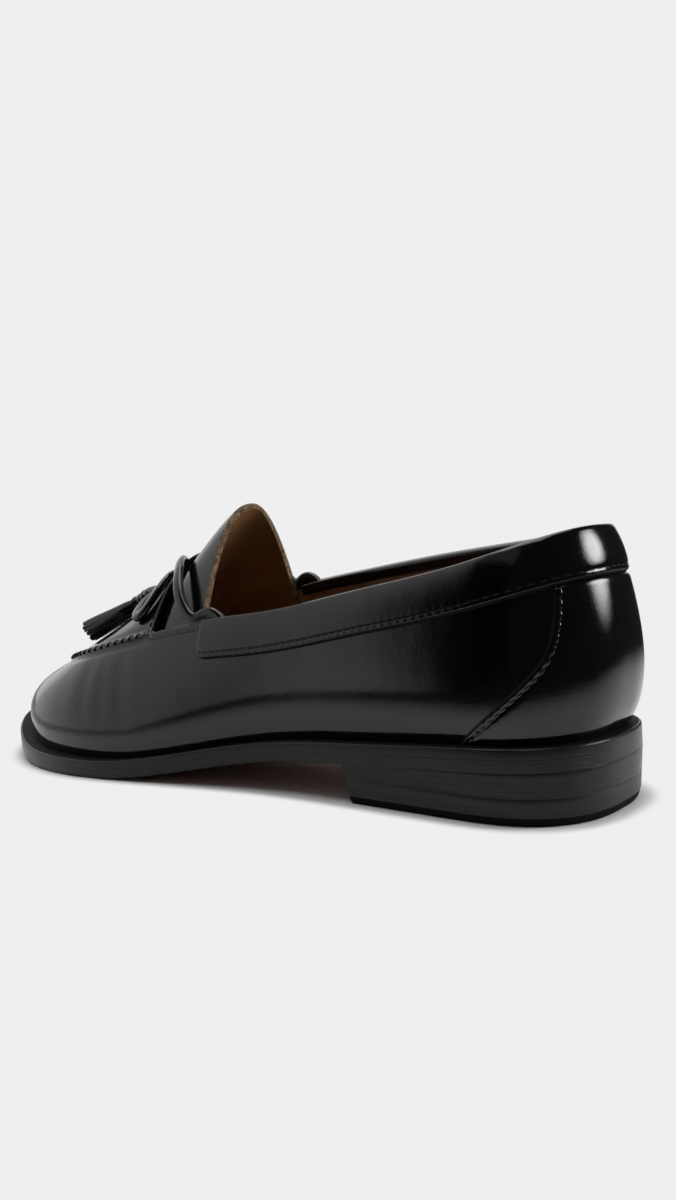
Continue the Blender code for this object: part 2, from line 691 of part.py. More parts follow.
def make_tassels():
    """Each tassel is a neck, a bound head and a skirt of strips fused at their roots."""
    lobes = 12
    angle = 2 * np.pi * np.arange(lobes * 3) / (lobes * 3)
    strip = np.array((0.0, 1.0, 1.0) * lobes)
    for name, side in (("tassel_lateral", -1), ("tassel_medial", 1)):
        start = np.array((KNOT_X + side * TASSEL_ROOT, TASSEL_START))
        end = np.array((KNOT_X + side * TASSEL_SPREAD, TASSEL_START + TASSEL_LONG))
        rings = []
        for share, radius, split in TASSEL_PROFILE:
            x, y = start + (end - start) * share
            lift = GAP + TASSEL_LIFT[0] + (TASSEL_LIFT[1] - TASSEL_LIFT[0]) * share ** 0.6
            middle, up = vamp_point(x, y, lift)
            ahead = vamp_point(*(start + (end - start) * (share + 0.02)), lift)[0] - middle
            ahead /= np.linalg.norm(ahead)
            across = np.cross(ahead, up)
            across /= np.linalg.norm(across)
            over = np.cross(across, ahead)
            size = radius * (1 - split * (1 - strip))
            rings.append(middle + np.outer(np.cos(angle) * size, across)
                         + np.outer(np.sin(angle) * size * TASSEL_FLAT, over))
        sides = len(angle)
        faces = grid_faces(len(rings), sides, loop=True)
        faces += [list(range(sides)), [(len(rings) - 1) * sides + i for i in range(sides)]]
        add_piece(name, np.vstack(rings), faces, black_leather)


make_soles()
make_heel()
make_insole()
make_upper()
make_tongue()
make_collar_band()
make_counter()
make_thongs()
make_bow()
make_tassels()

# Set the shoe with the middle of its box over the origin
corners = np.vstack([np.array([v.co for v in piece.data.vertices]) for piece in PIECES])
low = corners.min(axis=0)
high = corners.max(axis=0)
for piece in PIECES:
    for vertex in piece.data.vertices:
        vertex.co.x -= (low[0] + high[0]) / 2
        vertex.co.y -= (low[1] + high[1]) / 2
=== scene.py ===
"""The finish of a left tassel loafer: black polished leather on a leather sole with a stacked heel.

Each section is one piece, in the order in which the shoe is put together. Shapes are worked out in
millimetres, from the back of the heel along y and from the floor up z, with +x the medial side. They
become metres, in the frame's own place, when a mesh is made.
"""

import math
import bmesh
import bpy
import numpy as np
from mathutils import Matrix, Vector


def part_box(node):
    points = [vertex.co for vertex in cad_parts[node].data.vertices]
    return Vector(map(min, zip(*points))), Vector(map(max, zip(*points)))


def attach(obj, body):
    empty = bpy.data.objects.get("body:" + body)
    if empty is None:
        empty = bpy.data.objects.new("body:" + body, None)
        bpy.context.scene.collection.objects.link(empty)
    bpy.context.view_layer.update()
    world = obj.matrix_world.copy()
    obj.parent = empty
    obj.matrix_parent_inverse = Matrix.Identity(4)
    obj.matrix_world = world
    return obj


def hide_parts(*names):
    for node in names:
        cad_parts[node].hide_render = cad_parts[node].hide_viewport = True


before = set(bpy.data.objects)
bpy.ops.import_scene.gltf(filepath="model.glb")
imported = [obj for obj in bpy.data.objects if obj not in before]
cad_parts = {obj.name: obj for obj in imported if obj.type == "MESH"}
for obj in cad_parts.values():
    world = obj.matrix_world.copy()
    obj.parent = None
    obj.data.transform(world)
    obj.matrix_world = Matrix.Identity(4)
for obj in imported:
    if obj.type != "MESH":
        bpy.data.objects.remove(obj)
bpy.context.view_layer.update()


# Midsole and outsole
# Two layers of sole leather cut to one outline and fixed under the upper. The trimmed edge is dyed
# black, burnished and waxed, and the underside keeps the reddish brown of the tanned hide.
SOLE_LONG = 296.0
SOLE_COLUMNS = ("y", "centre", "half", "top", "low", "feather")
SOLE_TABLE = np.array((
    (0, 0, 35, 23.4, 16.3, 5.0),
    (14, 0, 35, 23.2, 16.1, 5.0),
    (35, 0, 35, 22.6, 15.5, 5.0),
    (75, -0.5, 34.2, 20.4, 13.3, 5.0),
    (118, -3, 33, 17.4, 10.3, 5.0),
    (152, -5, 37, 12.1, 5.0, 5.2),
    (190, -4, 46, 7.1, 0, 5.6),
    (213, -1, 51, 6.8, -0.3, 6.0),
    (237, 1.5, 50.5, 7.2, 0.1, 6.0),
    (266, 4, 46, 10.7, 3.6, 6.0),
    (SOLE_LONG, 6, 41, 16.6, 9.5, 6.0),
))
# How heel and toe are rounded off: over which stretch, and by which power
HEEL_END = (40.0, 2.6)
TOE_END = (66.0, 2.25)
MIDSOLE_THICK = 3.2
SOLE_PLACES = 200
# How much wider apart the places lie along the sides than round the ends
SIDES_WIDER = 1.6
# Rings of each layer's edge: how far in from the outline, and height over the layer's lower face
MIDSOLE_RINGS = ((0.4, 0.0), (0.01, 0.01), (0.0, 0.05), (0.0, 0.3), (0.0, 2.3), (0.05, 2.65), (0.18, 2.92),
                 (0.42, 3.12), (0.8, MIDSOLE_THICK))
OUTSOLE_RINGS = ((2.0, 0.0), (1.2, 0.05), (0.7, 0.25), (0.35, 0.6), (0.15, 1.1), (0.03, 1.8))
# The lower edge is nearly square where the heel is fixed and bevelled from its breast on
BEVEL_FROM = (79.0, 92.0)
BEVEL_LEAST = 0.02
OUTSOLE_RIM = ((0.0, -0.3), (0.0, -0.05), (0.01, -0.01), (0.4, 0.0))


def spline(x, y):
    """Natural cubic curve through a short table."""
    count = len(x)
    step = np.diff(x)
    matrix = np.eye(count)
    right = np.zeros(count)
    for i in range(1, count - 1):
        matrix[i, i - 1:i + 2] = step[i - 1], 2 * (step[i - 1] + step[i]), step[i]
        right[i] = 6 * ((y[i + 1] - y[i]) / step[i] - (y[i] - y[i - 1]) / step[i - 1])
    bend = np.linalg.solve(matrix, right)

    def at(q):
        q = np.asarray(q, float)
        i = np.clip(np.searchsorted(x, q) - 1, 0, count - 2)
        a = x[i + 1] - q
        b = q - x[i]
        return ((bend[i] * a ** 3 + bend[i + 1] * b ** 3) / (6 * step[i])
                + (y[i] / step[i] - bend[i] * step[i] / 6) * a
                + (y[i + 1] / step[i] - bend[i + 1] * step[i] / 6) * b)

    return at


SOLE = {name: spline(SOLE_TABLE[:, 0], SOLE_TABLE[:, i]) for i, name in enumerate(SOLE_COLUMNS)}


def rounded_end(distance, reach, power):
    """Rounds an outline off over its last stretch: 0 at its end, 1 from reach on."""
    inside = np.clip(distance / reach, 0, 1)
    return (1 - (1 - inside) ** power) ** (1 / power)


def sole_half(y):
    """Half the width of the sole, rounded off at heel and toe."""
    return SOLE["half"](y) * rounded_end(y, *HEEL_END) * rounded_end(SOLE_LONG - y, *TOE_END)


def unit(vectors):
    """Directions of length 1."""
    return vectors / np.linalg.norm(vectors, axis=1)[:, None]


FINE_Y = SOLE_LONG * (1 - np.cos(np.pi * np.linspace(0, 1, 4001))) / 2
EDGE_X = {side: SOLE["centre"](FINE_Y) + side * sole_half(FINE_Y) for side in (-1, 1)}
EDGE_OUT = {}
for side in (-1, 1):
    slope = np.stack((side * np.gradient(FINE_Y), -side * np.gradient(EDGE_X[side])), 1)
    EDGE_OUT[side] = unit(slope)


def walked(points):
    """Distance from the first point along a line of points."""
    return np.concatenate(((0,), np.cumsum(np.linalg.norm(np.diff(points, axis=0), axis=1))))


FINE_RUN = walked(np.stack((sole_half(FINE_Y), FINE_Y), 1))


def places_along(count):
    """Places from heel to toe, close together round both ends and wider along the sides."""
    middle = (FINE_Y[1:] + FINE_Y[:-1]) / 2
    pitch = 1.0 + SIDES_WIDER * np.sin(np.pi * middle / SOLE_LONG) ** 2
    spread = np.concatenate(((0,), np.cumsum(np.diff(FINE_RUN) / pitch)))
    return np.interp(np.linspace(0, spread[-1], count + 1), spread, FINE_Y)


def round_trip(places):
    """The same places up the lateral side, -1, and back down the medial side, 1."""
    y = np.concatenate((places, places[-2:0:-1]))
    sides = np.array([-1] * len(places) + [1] * (len(places) - 2))
    return y, sides


def outline(side, y, inset):
    """Points of the sole's outline at the places y, moved in by inset, and their outward directions."""
    x = np.interp(y, FINE_Y, EDGE_X[side])
    out = unit(np.stack([np.interp(y, FINE_Y, EDGE_OUT[side][:, i]) for i in (0, 1)], 1))
    return np.stack((x, y), 1) - out * np.reshape(inset, (-1, 1)), out


def sole_ring(y, sides, inset, z):
    """One ring of the outline, with z a number or one value for each place."""
    plan = np.where(sides[:, None] < 0, outline(-1, y, inset)[0], outline(1, y, inset)[0])
    return np.column_stack((plan, np.broadcast_to(np.asarray(z, float), y.shape)))


def grid(rows, columns, loop):
    """Quads of points stored row by row. With loop, the last column meets the first."""
    faces = []
    for r in range(rows - 1):
        for c in range(columns if loop else columns - 1):
            d = (c + 1) % columns
            faces.append((r * columns + c, r * columns + d, (r + 1) * columns + d, (r + 1) * columns + c))
    return faces


def cap(size, base):
    """Strips from side to side that close a ring."""
    strips = ((k, k + 1, size - k - 1, (size - k) % size) for k in range(size // 2))
    return [tuple(base + i for i in dict.fromkeys(strip)) for strip in strips]


def slab(rings):
    """A solid piled up from rings, closed below and above."""
    size = len(rings[0])
    top = (len(rings) - 1) * size
    return np.vstack(rings), grid(len(rings), size, True) + cap(size, 0) + cap(size, top)


HEEL_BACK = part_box("midsole")[0].y


def piece(name, points, faces, finishes, pick=None, sharp=40, **patterns):
    """One solid at its place in the frame, smooth but for its sharp edges, faces turned outwards.

    pick gives each face its finish, and patterns are vectors at the points that a finish follows.
    """
    mesh = bpy.data.meshes.new(name)
    mesh.from_pydata((np.asarray(points, float) * 0.001 + (0, HEEL_BACK, 0)).tolist(), [], faces)
    for label, vectors in patterns.items():
        mesh.attributes.new(label, "FLOAT_VECTOR", "POINT").data.foreach_set("vector", np.ravel(vectors))
    for made in finishes:
        mesh.materials.append(made)
    if pick is not None:
        mesh.polygons.foreach_set("material_index", np.asarray(pick, np.int32))
    work = bmesh.new()
    work.from_mesh(mesh)
    bmesh.ops.recalc_face_normals(work, faces=work.faces)
    if work.calc_volume(signed=True) < 0:
        bmesh.ops.reverse_faces(work, faces=work.faces)
    work.to_mesh(mesh)
    work.free()
    mesh.shade_smooth()
    mesh.set_sharp_from_angle(angle=math.radians(sharp))
    made = bpy.data.objects.new(name, mesh)
    bpy.context.collection.objects.link(made)
    return made


def finish(name):
    """A new material, its node tree and its shader."""
    made = bpy.data.materials.new(name)
    made.use_nodes = True
    return made, made.node_tree, made.node_tree.nodes["Principled BSDF"]


def wire(tree, kind, inputs, **settings):
    """A node with its settings, and its inputs set to a value or linked from another node."""
    made = tree.nodes.new(kind)
    for label, value in settings.items():
        setattr(made, label, value)
    for socket, value in inputs.items():
        if isinstance(value, bpy.types.NodeSocket):
            tree.links.new(value, made.inputs[socket])
        else:
            made.inputs[socket].default_value = value
    return made


def noise(tree, place, scale, detail=2.0, stretch=(1, 1, 1)):
    """Cloudy noise at a place, with scale in patches for each unit of it."""
    mapped = wire(tree, "ShaderNodeMapping", {"Vector": place, "Scale": stretch}).outputs[0]
    inputs = {"Vector": mapped, "Scale": scale, "Detail": detail}
    return wire(tree, "ShaderNodeTexNoise", inputs).outputs[0]


def ramp(tree, value, *stops):
    """A tone or colour read off a value: each stop is its place and a grey or a colour."""
    made = wire(tree, "ShaderNodeValToRGB", {"Fac": value})
    for i, (place, tone) in enumerate(stops):
        stop = made.color_ramp.elements[i] if i < 2 else made.color_ramp.elements.new(place)
        stop.position = place
        stop.color = (*((tone,) * 3 if np.isscalar(tone) else tone), 1)
    return made.outputs[0]


def relief(tree, height, depth, under=None):
    """Bump of the given depth in metres, on top of the bump under it."""
    inputs = {"Height": height, "Distance": depth, "Strength": 1.0}
    if under is not None:
        inputs["Normal"] = under
    return wire(tree, "ShaderNodeBump", inputs).outputs[0]


def arithmetic(tree, operation, first, second):
    """One step of arithmetic on two values."""
    return wire(tree, "ShaderNodeMath", {0: first, 1: second}, operation=operation).outputs[0]


def own_place(tree):
    """A place on the piece, in metres."""
    return wire(tree, "ShaderNodeTexCoord", {}).outputs["Object"]


def edge_place(tree):
    """Millimetres along the sole's outline and up its edge."""
    return wire(tree, "ShaderNodeAttribute", {}, attribute_name="edge").outputs["Vector"]


waxed_edge, tree, shader = finish("waxed black sole edge")
place = edge_place(tree)
threads = noise(tree, place, 1.0, 2, (0.2, 6.0, 1))
smears = noise(tree, place, 1.0, 2, (0.06, 0.16, 1))
hairlines = ramp(tree, noise(tree, place, 1.0, 2, (0.1, 5.2, 1)), (0.37, 0.0), (0.45, 1.0))
whole = ramp(tree, noise(tree, place, 1.0, 2, (0.07, 0.3, 1)), (0.5, 0.0), (0.66, 1.0))
worn = arithmetic(tree, "MAXIMUM", hairlines, whole)
tree.links.new(ramp(tree, worn, (0.0, 0.002), (1.0, 0.010)), shader.inputs["Base Color"])
tree.links.new(ramp(tree, smears, (0.3, 0.28), (0.7, 0.4)), shader.inputs["Roughness"])
fine = relief(tree, threads, 0.00002)
tree.links.new(relief(tree, worn, 0.00007, fine), shader.inputs["Normal"])
shader.inputs["Specular IOR Level"].default_value = 0.2
shader.inputs["Coat Weight"].default_value = 0.26
shader.inputs["Coat Roughness"].default_value = 0.14


def fine_grained(name, scale, tones, roughness, deep, specular, detail=3, coat=(0.0, 0.03)):
    """A finish of one fine grain, its depth in metres, with the weight and roughness of its coat."""
    made, tree, shader = finish(name)
    grain = noise(tree, own_place(tree), scale, detail)
    for socket, (low, high) in (("Base Color", tones), ("Roughness", roughness)):
        tree.links.new(ramp(tree, grain, (0.3, low), (0.7, high)), shader.inputs[socket])
    tree.links.new(relief(tree, grain, deep), shader.inputs["Normal"])
    shader.inputs["Specular IOR Level"].default_value = specular
    shader.inputs["Coat Weight"].default_value = coat[0]
    shader.inputs["Coat Roughness"].default_value = coat[1]
    return made


# The midsole's top face under the upper's foot is matt, and its tone, darker than the waxed edge's, is
# painted shade.
rand_top_painted_shade = fine_grained("dull black midsole face with painted shade", 1800, (0.002, 0.005), (0.55, 0.75), 0.00004, 0.15)

sole_hide, tree, shader = finish("reddish brown sole leather")
place = own_place(tree)
clouds = noise(tree, place, 45, 4)
pores = noise(tree, place, 2600, 3)
fibres = noise(tree, place, 1.0, 3, (900, 90, 900))
tree.links.new(ramp(tree, clouds, (0.3, (0.13, 0.042, 0.020)), (0.7, (0.23, 0.085, 0.040))),
               shader.inputs["Base Color"])
tree.links.new(ramp(tree, fibres, (0.3, 0.38), (0.7, 0.58)), shader.inputs["Roughness"])
tree.links.new(relief(tree, pores, 0.00004, relief(tree, fibres, 0.00003)), shader.inputs["Normal"])

sole_y, sole_side = round_trip(places_along(SOLE_PLACES))
sole_run = np.interp(sole_y, FINE_Y, FINE_RUN)
sole_split = SOLE["top"](sole_y) - MIDSOLE_THICK
sole_low = np.maximum(SOLE["low"](sole_y), 0)


def edge_pattern(rings, level):
    """The edge's own coordinates: along the outline, and up from a level of it."""
    return np.vstack([np.column_stack((sole_run, ring[:, 2] - level, 0 * sole_run)) for ring in rings])


rings = [sole_ring(sole_y, sole_side, inset, sole_split + rise) for inset, rise in MIDSOLE_RINGS]
points, faces = slab(rings)
# The top faces take the matt finish with painted shade.
painted_shade_top_face = [min(ring) >= (len(rings) - 1) * len(sole_y) for ring in faces]
midsole = piece("midsole_edge", points, faces, [waxed_edge, rand_top_painted_shade], painted_shade_top_face,
                edge=edge_pattern(rings, sole_low))
bevelled = np.clip((sole_y - BEVEL_FROM[0]) / (BEVEL_FROM[1] - BEVEL_FROM[0]), BEVEL_LEAST, 1)
rings = [sole_ring(sole_y, sole_side, inset * bevelled, sole_low + rise) for inset, rise in OUTSOLE_RINGS]
rings += [sole_ring(sole_y, sole_side, inset, sole_split + rise) for inset, rise in OUTSOLE_RIM]
points, faces = slab(rings)
underside = [max(ring) < len(sole_y) for ring in faces]
outsole = piece("outsole_layer", points, faces, [waxed_edge, sole_hide], underside,
                edge=edge_pattern(rings, sole_low))
for made, node, name in ((midsole, "midsole", "sole_edge"), (outsole, "outsole", "sole_leather")):
    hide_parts(node)
    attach(made, "root")


# Heel stack and top lift
# Layers of heel leather pegged and glued under the sole, trimmed flush with it, dyed and waxed. A
# rubber top lift with a bevelled foot meets the floor, and the breast leans forward as it rises.

# The breast's place at the floor, and how far it leans forward for each millimetre up
BREAST_FOOT = 80.4
BREAST_SLOPE = 0.13
# How far in the heel is at the floor, and the height at which it is flush with the sole
HEEL_UNDERCUT = 1.3
HEEL_SEAT = 16.0
# Rings of the lifts over the top lift and under the outsole: height from there, and how far in
LIFT_TOP = 8.4
LIFT_FOOT_RINGS = ((0.0, 0.5), (0.01, 0.04), (0.08, 0.0))
SEAT_RINGS = ((-0.12, 0.0), (-0.03, 0.04), (-0.01, 0.5))
# Height of the joints between the lifts, and how deep and wide their lines are
LIFT_JOINTS = (10.6, 13.1)
JOINT_DEEP = 0.018
JOINT_HALF = 0.07
# Rings of the top lift: height, and how far in from the heel's side
TOP_LIFT_RINGS = ((0.0, 1.35), (0.12, 0.95), (1.2, 0.5), (2.6, 0.22), (2.85, 0.1), (3.0, 0.0), (5.0, 0.0),
                  (8.3, 0.0), (8.37, 0.04), (8.38, 0.5))
# Up to this height the top lift has the matt finish of its foot, whose darker tone is painted shade
BEVEL_TOP = 2.7

heel_share = places_along(SOLE_PLACES)
heel_share = np.append(heel_share[heel_share < BREAST_FOOT - 1], BREAST_FOOT) / BREAST_FOOT


def heel_ring(height, inset):
    """A ring of the heel block with its breast: height is a number or a rule along y."""
    level = height if callable(height) else lambda y: np.full(len(y), height)
    y = heel_share * (BREAST_FOOT + BREAST_SLOPE * level(heel_share * BREAST_FOOT).max())
    z = level(y)
    inset = inset + HEEL_UNDERCUT * (1 - np.minimum(z, HEEL_SEAT) / HEEL_SEAT)
    lateral, medial = (np.column_stack((outline(side, y, inset)[0], z)) for side in (-1, 1))
    return np.vstack((lateral, medial[:0:-1]))


def heel_pattern(rings):
    """The heel's own coordinates, as on the edge of the sole."""
    run = np.interp(heel_share * BREAST_FOOT, FINE_Y, FINE_RUN)
    run = np.concatenate((run, run[:0:-1]))
    return np.vstack([np.column_stack((run, ring[:, 2] - SOLE["low"](0), 0 * run)) for ring in rings])


top_rubber, tree, shader = finish("black rubber top lift")
streaks = noise(tree, edge_place(tree), 1.0, 4, (0.05, 1.6, 1))
pebble = noise(tree, own_place(tree), 1900, 2)
tree.links.new(ramp(tree, streaks, (0.35, 0.011), (0.7, 0.017)), shader.inputs["Base Color"])
tree.links.new(ramp(tree, pebble, (0.3, 0.34), (0.7, 0.46)), shader.inputs["Roughness"])
tree.links.new(relief(tree, streaks, 0.00003, relief(tree, pebble, 0.00002)), shader.inputs["Normal"])
shader.inputs["Specular IOR Level"].default_value = 0.22
shader.inputs["Coat Weight"].default_value = 0.25
shader.inputs["Coat Roughness"].default_value = 0.18

# The bevelled foot is matt, and its tone, darker than the rest of the top lift, is painted shade from the
# floor.
foot_rubber_painted_shade = fine_grained("matt rubber foot with painted shade", 1500, (0.002, 0.005), (0.75, 0.9), 0.00004, 0.12)

levels = [(LIFT_TOP + rise, inset) for rise, inset in LIFT_FOOT_RINGS]
for joint in LIFT_JOINTS:
    levels += [(joint - JOINT_HALF, 0.0), (joint, JOINT_DEEP), (joint + JOINT_HALF, 0.0)]
levels += [(lambda y, rise=rise: SOLE["low"](y) + rise, inset) for rise, inset in SEAT_RINGS]
rings = [heel_ring(level, inset) for level, inset in levels]
heel_stack = piece("heel_lifts", *slab(rings), [waxed_edge], edge=heel_pattern(rings))
rings = [heel_ring(level, inset) for level, inset in TOP_LIFT_RINGS]
points, faces = slab(rings)
# Faces below that height take the foot's matt finish with its painted shade.
foot = [max(points[i][2] for i in ring) < BEVEL_TOP for ring in faces]
top_lift = piece("rubber_top_lift", points, faces, [top_rubber, foot_rubber_painted_shade], foot,
                 edge=heel_pattern(rings))
for made, node, name in ((heel_stack, "heel_stack", "sole_edge"), (top_lift, "heel_top_lift", "top_lift")):
    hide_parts(node)
    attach(made, "root")


# Insole
# A leather footbed that lies on the midsole inside the foot of the upper, with an eased upper edge.
# It is smooth vegetable-tanned leather, brown and faintly clouded.

# How far it stays clear of the upper's foot, and its rings: how far in, and height over the midsole
INSOLE_CLEAR = 3.1
INSOLE_RINGS = ((0.0, 0.1), (0.0, 1.9), (0.12, 2.3), (0.45, 2.65), (1.0, 2.8), (8.0, 2.8))

bare_leather, tree, shader = finish("brown insole leather")
place = own_place(tree)
clouds = noise(tree, place, 60, 4)
pores = noise(tree, place, 1700, 4)
tree.links.new(ramp(tree, clouds, (0.3, (0.115, 0.047, 0.019)), (0.7, (0.175, 0.078, 0.034))),
               shader.inputs["Base Color"])
tree.links.new(ramp(tree, pores, (0.3, 0.42), (0.7, 0.6)), shader.inputs["Roughness"])
tree.links.new(relief(tree, pores, 0.00007), shader.inputs["Normal"])

rings = []
for inset, rise in INSOLE_RINGS:
    inwards = SOLE["feather"](sole_y) + INSOLE_CLEAR + inset
    ring = sole_ring(sole_y, sole_side, inwards, SOLE["top"](sole_y) + rise)
    centre = SOLE["centre"](sole_y)
    ring[:, 0] = np.where(sole_side * (ring[:, 0] - centre) < 0, centre, ring[:, 0])
    rings.append(ring)
insole = piece("leather_insole", *slab(rings), [bare_leather])
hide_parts("insole")
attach(insole, "root")


# Upper
# Quarters, vamp and apron of black calf, brushed off and polished to a high gloss over a fine grain.
# The apron is hand sewn to the vamp in a raised seam, and the vamp gathers in small pleats at the toe.

# Where the collar starts and the apron starts and ends, and how their lines are rounded off there
COLLAR_BACK = 5.0
COLLAR_END = (30.0, 2.4)
APRON_TIP = 260.0
APRON_END = (50.0, 2.2)
APRON_BACK = 177.0
UPPER_COLUMNS = ("top_y", "top_centre", "top_half", "lateral_z", "medial_z", "crown", "arch",
                 "out_low", "rise_low", "out_high", "drop_high")
UPPER_TABLE = np.array((
    (COLLAR_BACK, 0, 25, 84.0, 84.0, 42, 2.3, 10, 12.4, 7.6, 24),
    (18, -0.1, 25.1, 80.2, 82.6, 42, 2.3, 5.2, 8.5, 7.0, 23.2),
    (38, -0.2, 25.2, 75.0, 80.6, 42, 2.3, 4.8, 7.5, 7.0, 22),
    (78, -0.3, 25.6, 67.8, 76.8, 42, 2.3, 4.4, 8.8, 6.4, 20),
    (118, -0.5, 27, 61.3, 71.8, 42, 2.3, 4.0, 13, 5, 18),
    (150, -1, 28.8, 58.2, 67.0, 42, 2.35, 4, 15, 5, 16),
    (185, -0.5, 31, 52.5, 58.0, 21.5, 2.2, 4, 15, 7, 13),
    (205, 0.5, 32.5, 48.5, 51.5, 14, 2.1, 4.5, 14, 9, 11),
    (226, 1.5, 32, 44.5, 46.0, 8.5, 2.2, 4.5, 13, 10, 9),
    (247, 3, 29, 41.0, 41.5, 5.3, 2.2, 4.5, 12, 14, 7),
    (APRON_TIP, 4, 26, 39.5, 39.5, 4.5, 2.2, 4.5, 11, 17, 6),
))
UPPER = {name: spline(SOLE_TABLE[:, 0], UPPER_TABLE[:, i]) for i, name in enumerate(UPPER_COLUMNS)}
FINE_TOP = UPPER["top_y"](FINE_Y)
FINE_TOP_HALF = UPPER["top_half"](FINE_Y)
FOOT_CLEAR = 0.06
# Thickness of the leather alone, and with its lining
LEATHER = 1.3
LINED = 2.2
# Places along each side, rows up the wall and columns across the apron
UPPER_MESH = (340, 44, 48)
ROWS_CLOSER = 1.35
# The raised seam fades in at its rear ends. The gutter below it: depth, distance from the seam, half width
SEAM_HIGH = 1.2
SEAM_HALF = 1.1
SEAM_FADE = (APRON_BACK, APRON_BACK + 6)
GUTTER = (0.3, 3.0, 1.0)
# The seam is whipped from its rear ends on, and each stitch draws the vamp into a soft pleat at the toe.
# The pleats fade in along the shoe and below the seam
WHIP_FROM = APRON_BACK + 5
WHIP_PITCH = 4.6
PLEAT_DEEP = 0.22
PLEAT_REACH = 6.5
PLEAT_FROM = (216, 238)
PLEAT_BELOW = (0.8, 2.2)
# Soft flex lines across the vamp's side: place along the shoe, lean forward as it rises, width, depth
FLEX_LINES = ((186, 10, 4.2, 0.34), (196, 7, 3.6, 0.28), (207, 4, 4.4, 0.22))
# The height at which their places hold, where they fade in over the sole and below the seam, and the
# ridge ahead of each: how many widths on, and its share of the depth
FLEX_LEVEL = 30
FLEX_FOOT = (16, 28)
FLEX_BELOW = (3, 11)
FLEX_RIDGE = (1.9, 0.5)


def top_edge(side, y):
    """The wall's upper edge: the collar at the rear, the apron seam at the front."""
    top_y = UPPER["top_y"](y)
    half = np.interp(top_y, FINE_TOP, FINE_TOP_HALF)
    half = half * rounded_end(top_y - COLLAR_BACK, *COLLAR_END) * rounded_end(APRON_TIP - top_y, *APRON_END)
    z = UPPER["medial_z" if side > 0 else "lateral_z"](y)
    return np.stack((UPPER["top_centre"](y) + side * half, top_y, z), 1)


def wall(side, y, rise):
    """Points of the upper's outer face: rise is 0 at the sole and 1 at the top edge."""
    y = np.atleast_1d(np.asarray(y, float))
    foot, out = outline(side, y, SOLE["feather"](y))
    out = np.column_stack((out, np.zeros(len(y))))
    up = np.array((0, 0, 1.0))
    low = np.column_stack((foot, SOLE["top"](y) + FOOT_CLEAR))
    high = top_edge(side, y)
    pull_low = low + out * UPPER["out_low"](y)[:, None] + up * UPPER["rise_low"](y)[:, None]
    pull_high = high + out * UPPER["out_high"](y)[:, None] - up * UPPER["drop_high"](y)[:, None]
    t = np.reshape(rise, (-1, 1))
    rising = (1 - t) ** 3 * low + 3 * t * (1 - t) ** 2 * pull_low
    return rising + 3 * t * t * (1 - t) * pull_high + t ** 3 * high


def wall_out(side, y, rise):
    """Outward direction of the wall's outer face."""
    y = np.atleast_1d(np.asarray(y, float))
    rise = np.broadcast_to(np.asarray(rise, float), y.shape)
    climb = wall(side, y, np.minimum(rise + 0.004, 1)) - wall(side, y, np.maximum(rise - 0.004, 0))
    ahead = np.minimum(y + 0.02 + 0.002 * y, SOLE_LONG)
    behind = np.maximum(y - 0.02 - 0.002 * (SOLE_LONG - y), 0)
    along = wall(side, ahead, rise) - wall(side, behind, rise)
    along[y < 0.01] = (side, 0, 0)
    along[y > SOLE_LONG - 0.01] = (-side, 0, 0)
    return unit(np.cross(along, climb) * side)


def climb_at(side, y):
    """Direction up the wall at its top edge."""
    return unit(wall(side, y, np.ones(len(y))) - wall(side, y, np.full(len(y), 0.98)))


def apron(y, across):
    """Points of the apron's outer face: across runs from 0, lateral, to 1, medial."""
    y = np.atleast_1d(np.asarray(y, float))
    across = np.broadcast_to(np.asarray(across, float), y.shape)
    left = top_edge(-1, y)
    right = top_edge(1, y)
    point = left + (right - left) * across[:, None]
    shrink = rounded_end(APRON_TIP - UPPER["top_y"](y), *APRON_END)
    point[:, 2] += UPPER["crown"](y) * shrink * (1 - np.abs(2 * across - 1) ** UPPER["arch"](y))
    return point


def apron_out(y, across):
    """Outward direction of the apron."""
    along = apron(y + 0.05, across) - apron(y - 0.05, across)
    over = apron(y, across + 0.002) - apron(y, across - 0.002)
    return unit(np.cross(over, along))


def station_at(top_y):
    """The section whose top edge stands at top_y."""
    return np.interp(top_y, FINE_TOP, FINE_Y)


def eased(value, start, end):
    """0 up to start, 1 from end on, and smooth between."""
    inside = np.clip((value - start) / (end - start), 0, 1)
    return inside * inside * (3 - 2 * inside)


def vertex_out(points, faces):
    """Outward directions at the points of a sheet of quads and triangles."""
    quads = np.array([ring + ring[-1:] if len(ring) == 3 else ring for ring in faces])
    corner = points[quads]
    out = np.cross(corner[:, 2] - corner[:, 0], corner[:, 3] - corner[:, 1])
    total = np.zeros_like(points)
    for i in range(4):
        np.add.at(total, quads[:, i], out)
    return unit(total)


def between(face, back, faces):
    """A closed solid between two sheets that share the same faces."""
    count = len(face)
    edges = {(a, b) for ring in faces for a, b in zip(ring, ring[1:] + ring[:1])}
    rims = [(a, b) for a, b in edges if (b, a) not in edges]
    solid = list(faces) + [tuple(i + count for i in reversed(ring)) for ring in faces]
    return np.vstack((face, back)), solid + [(b, a, a + count, b + count) for a, b in rims]


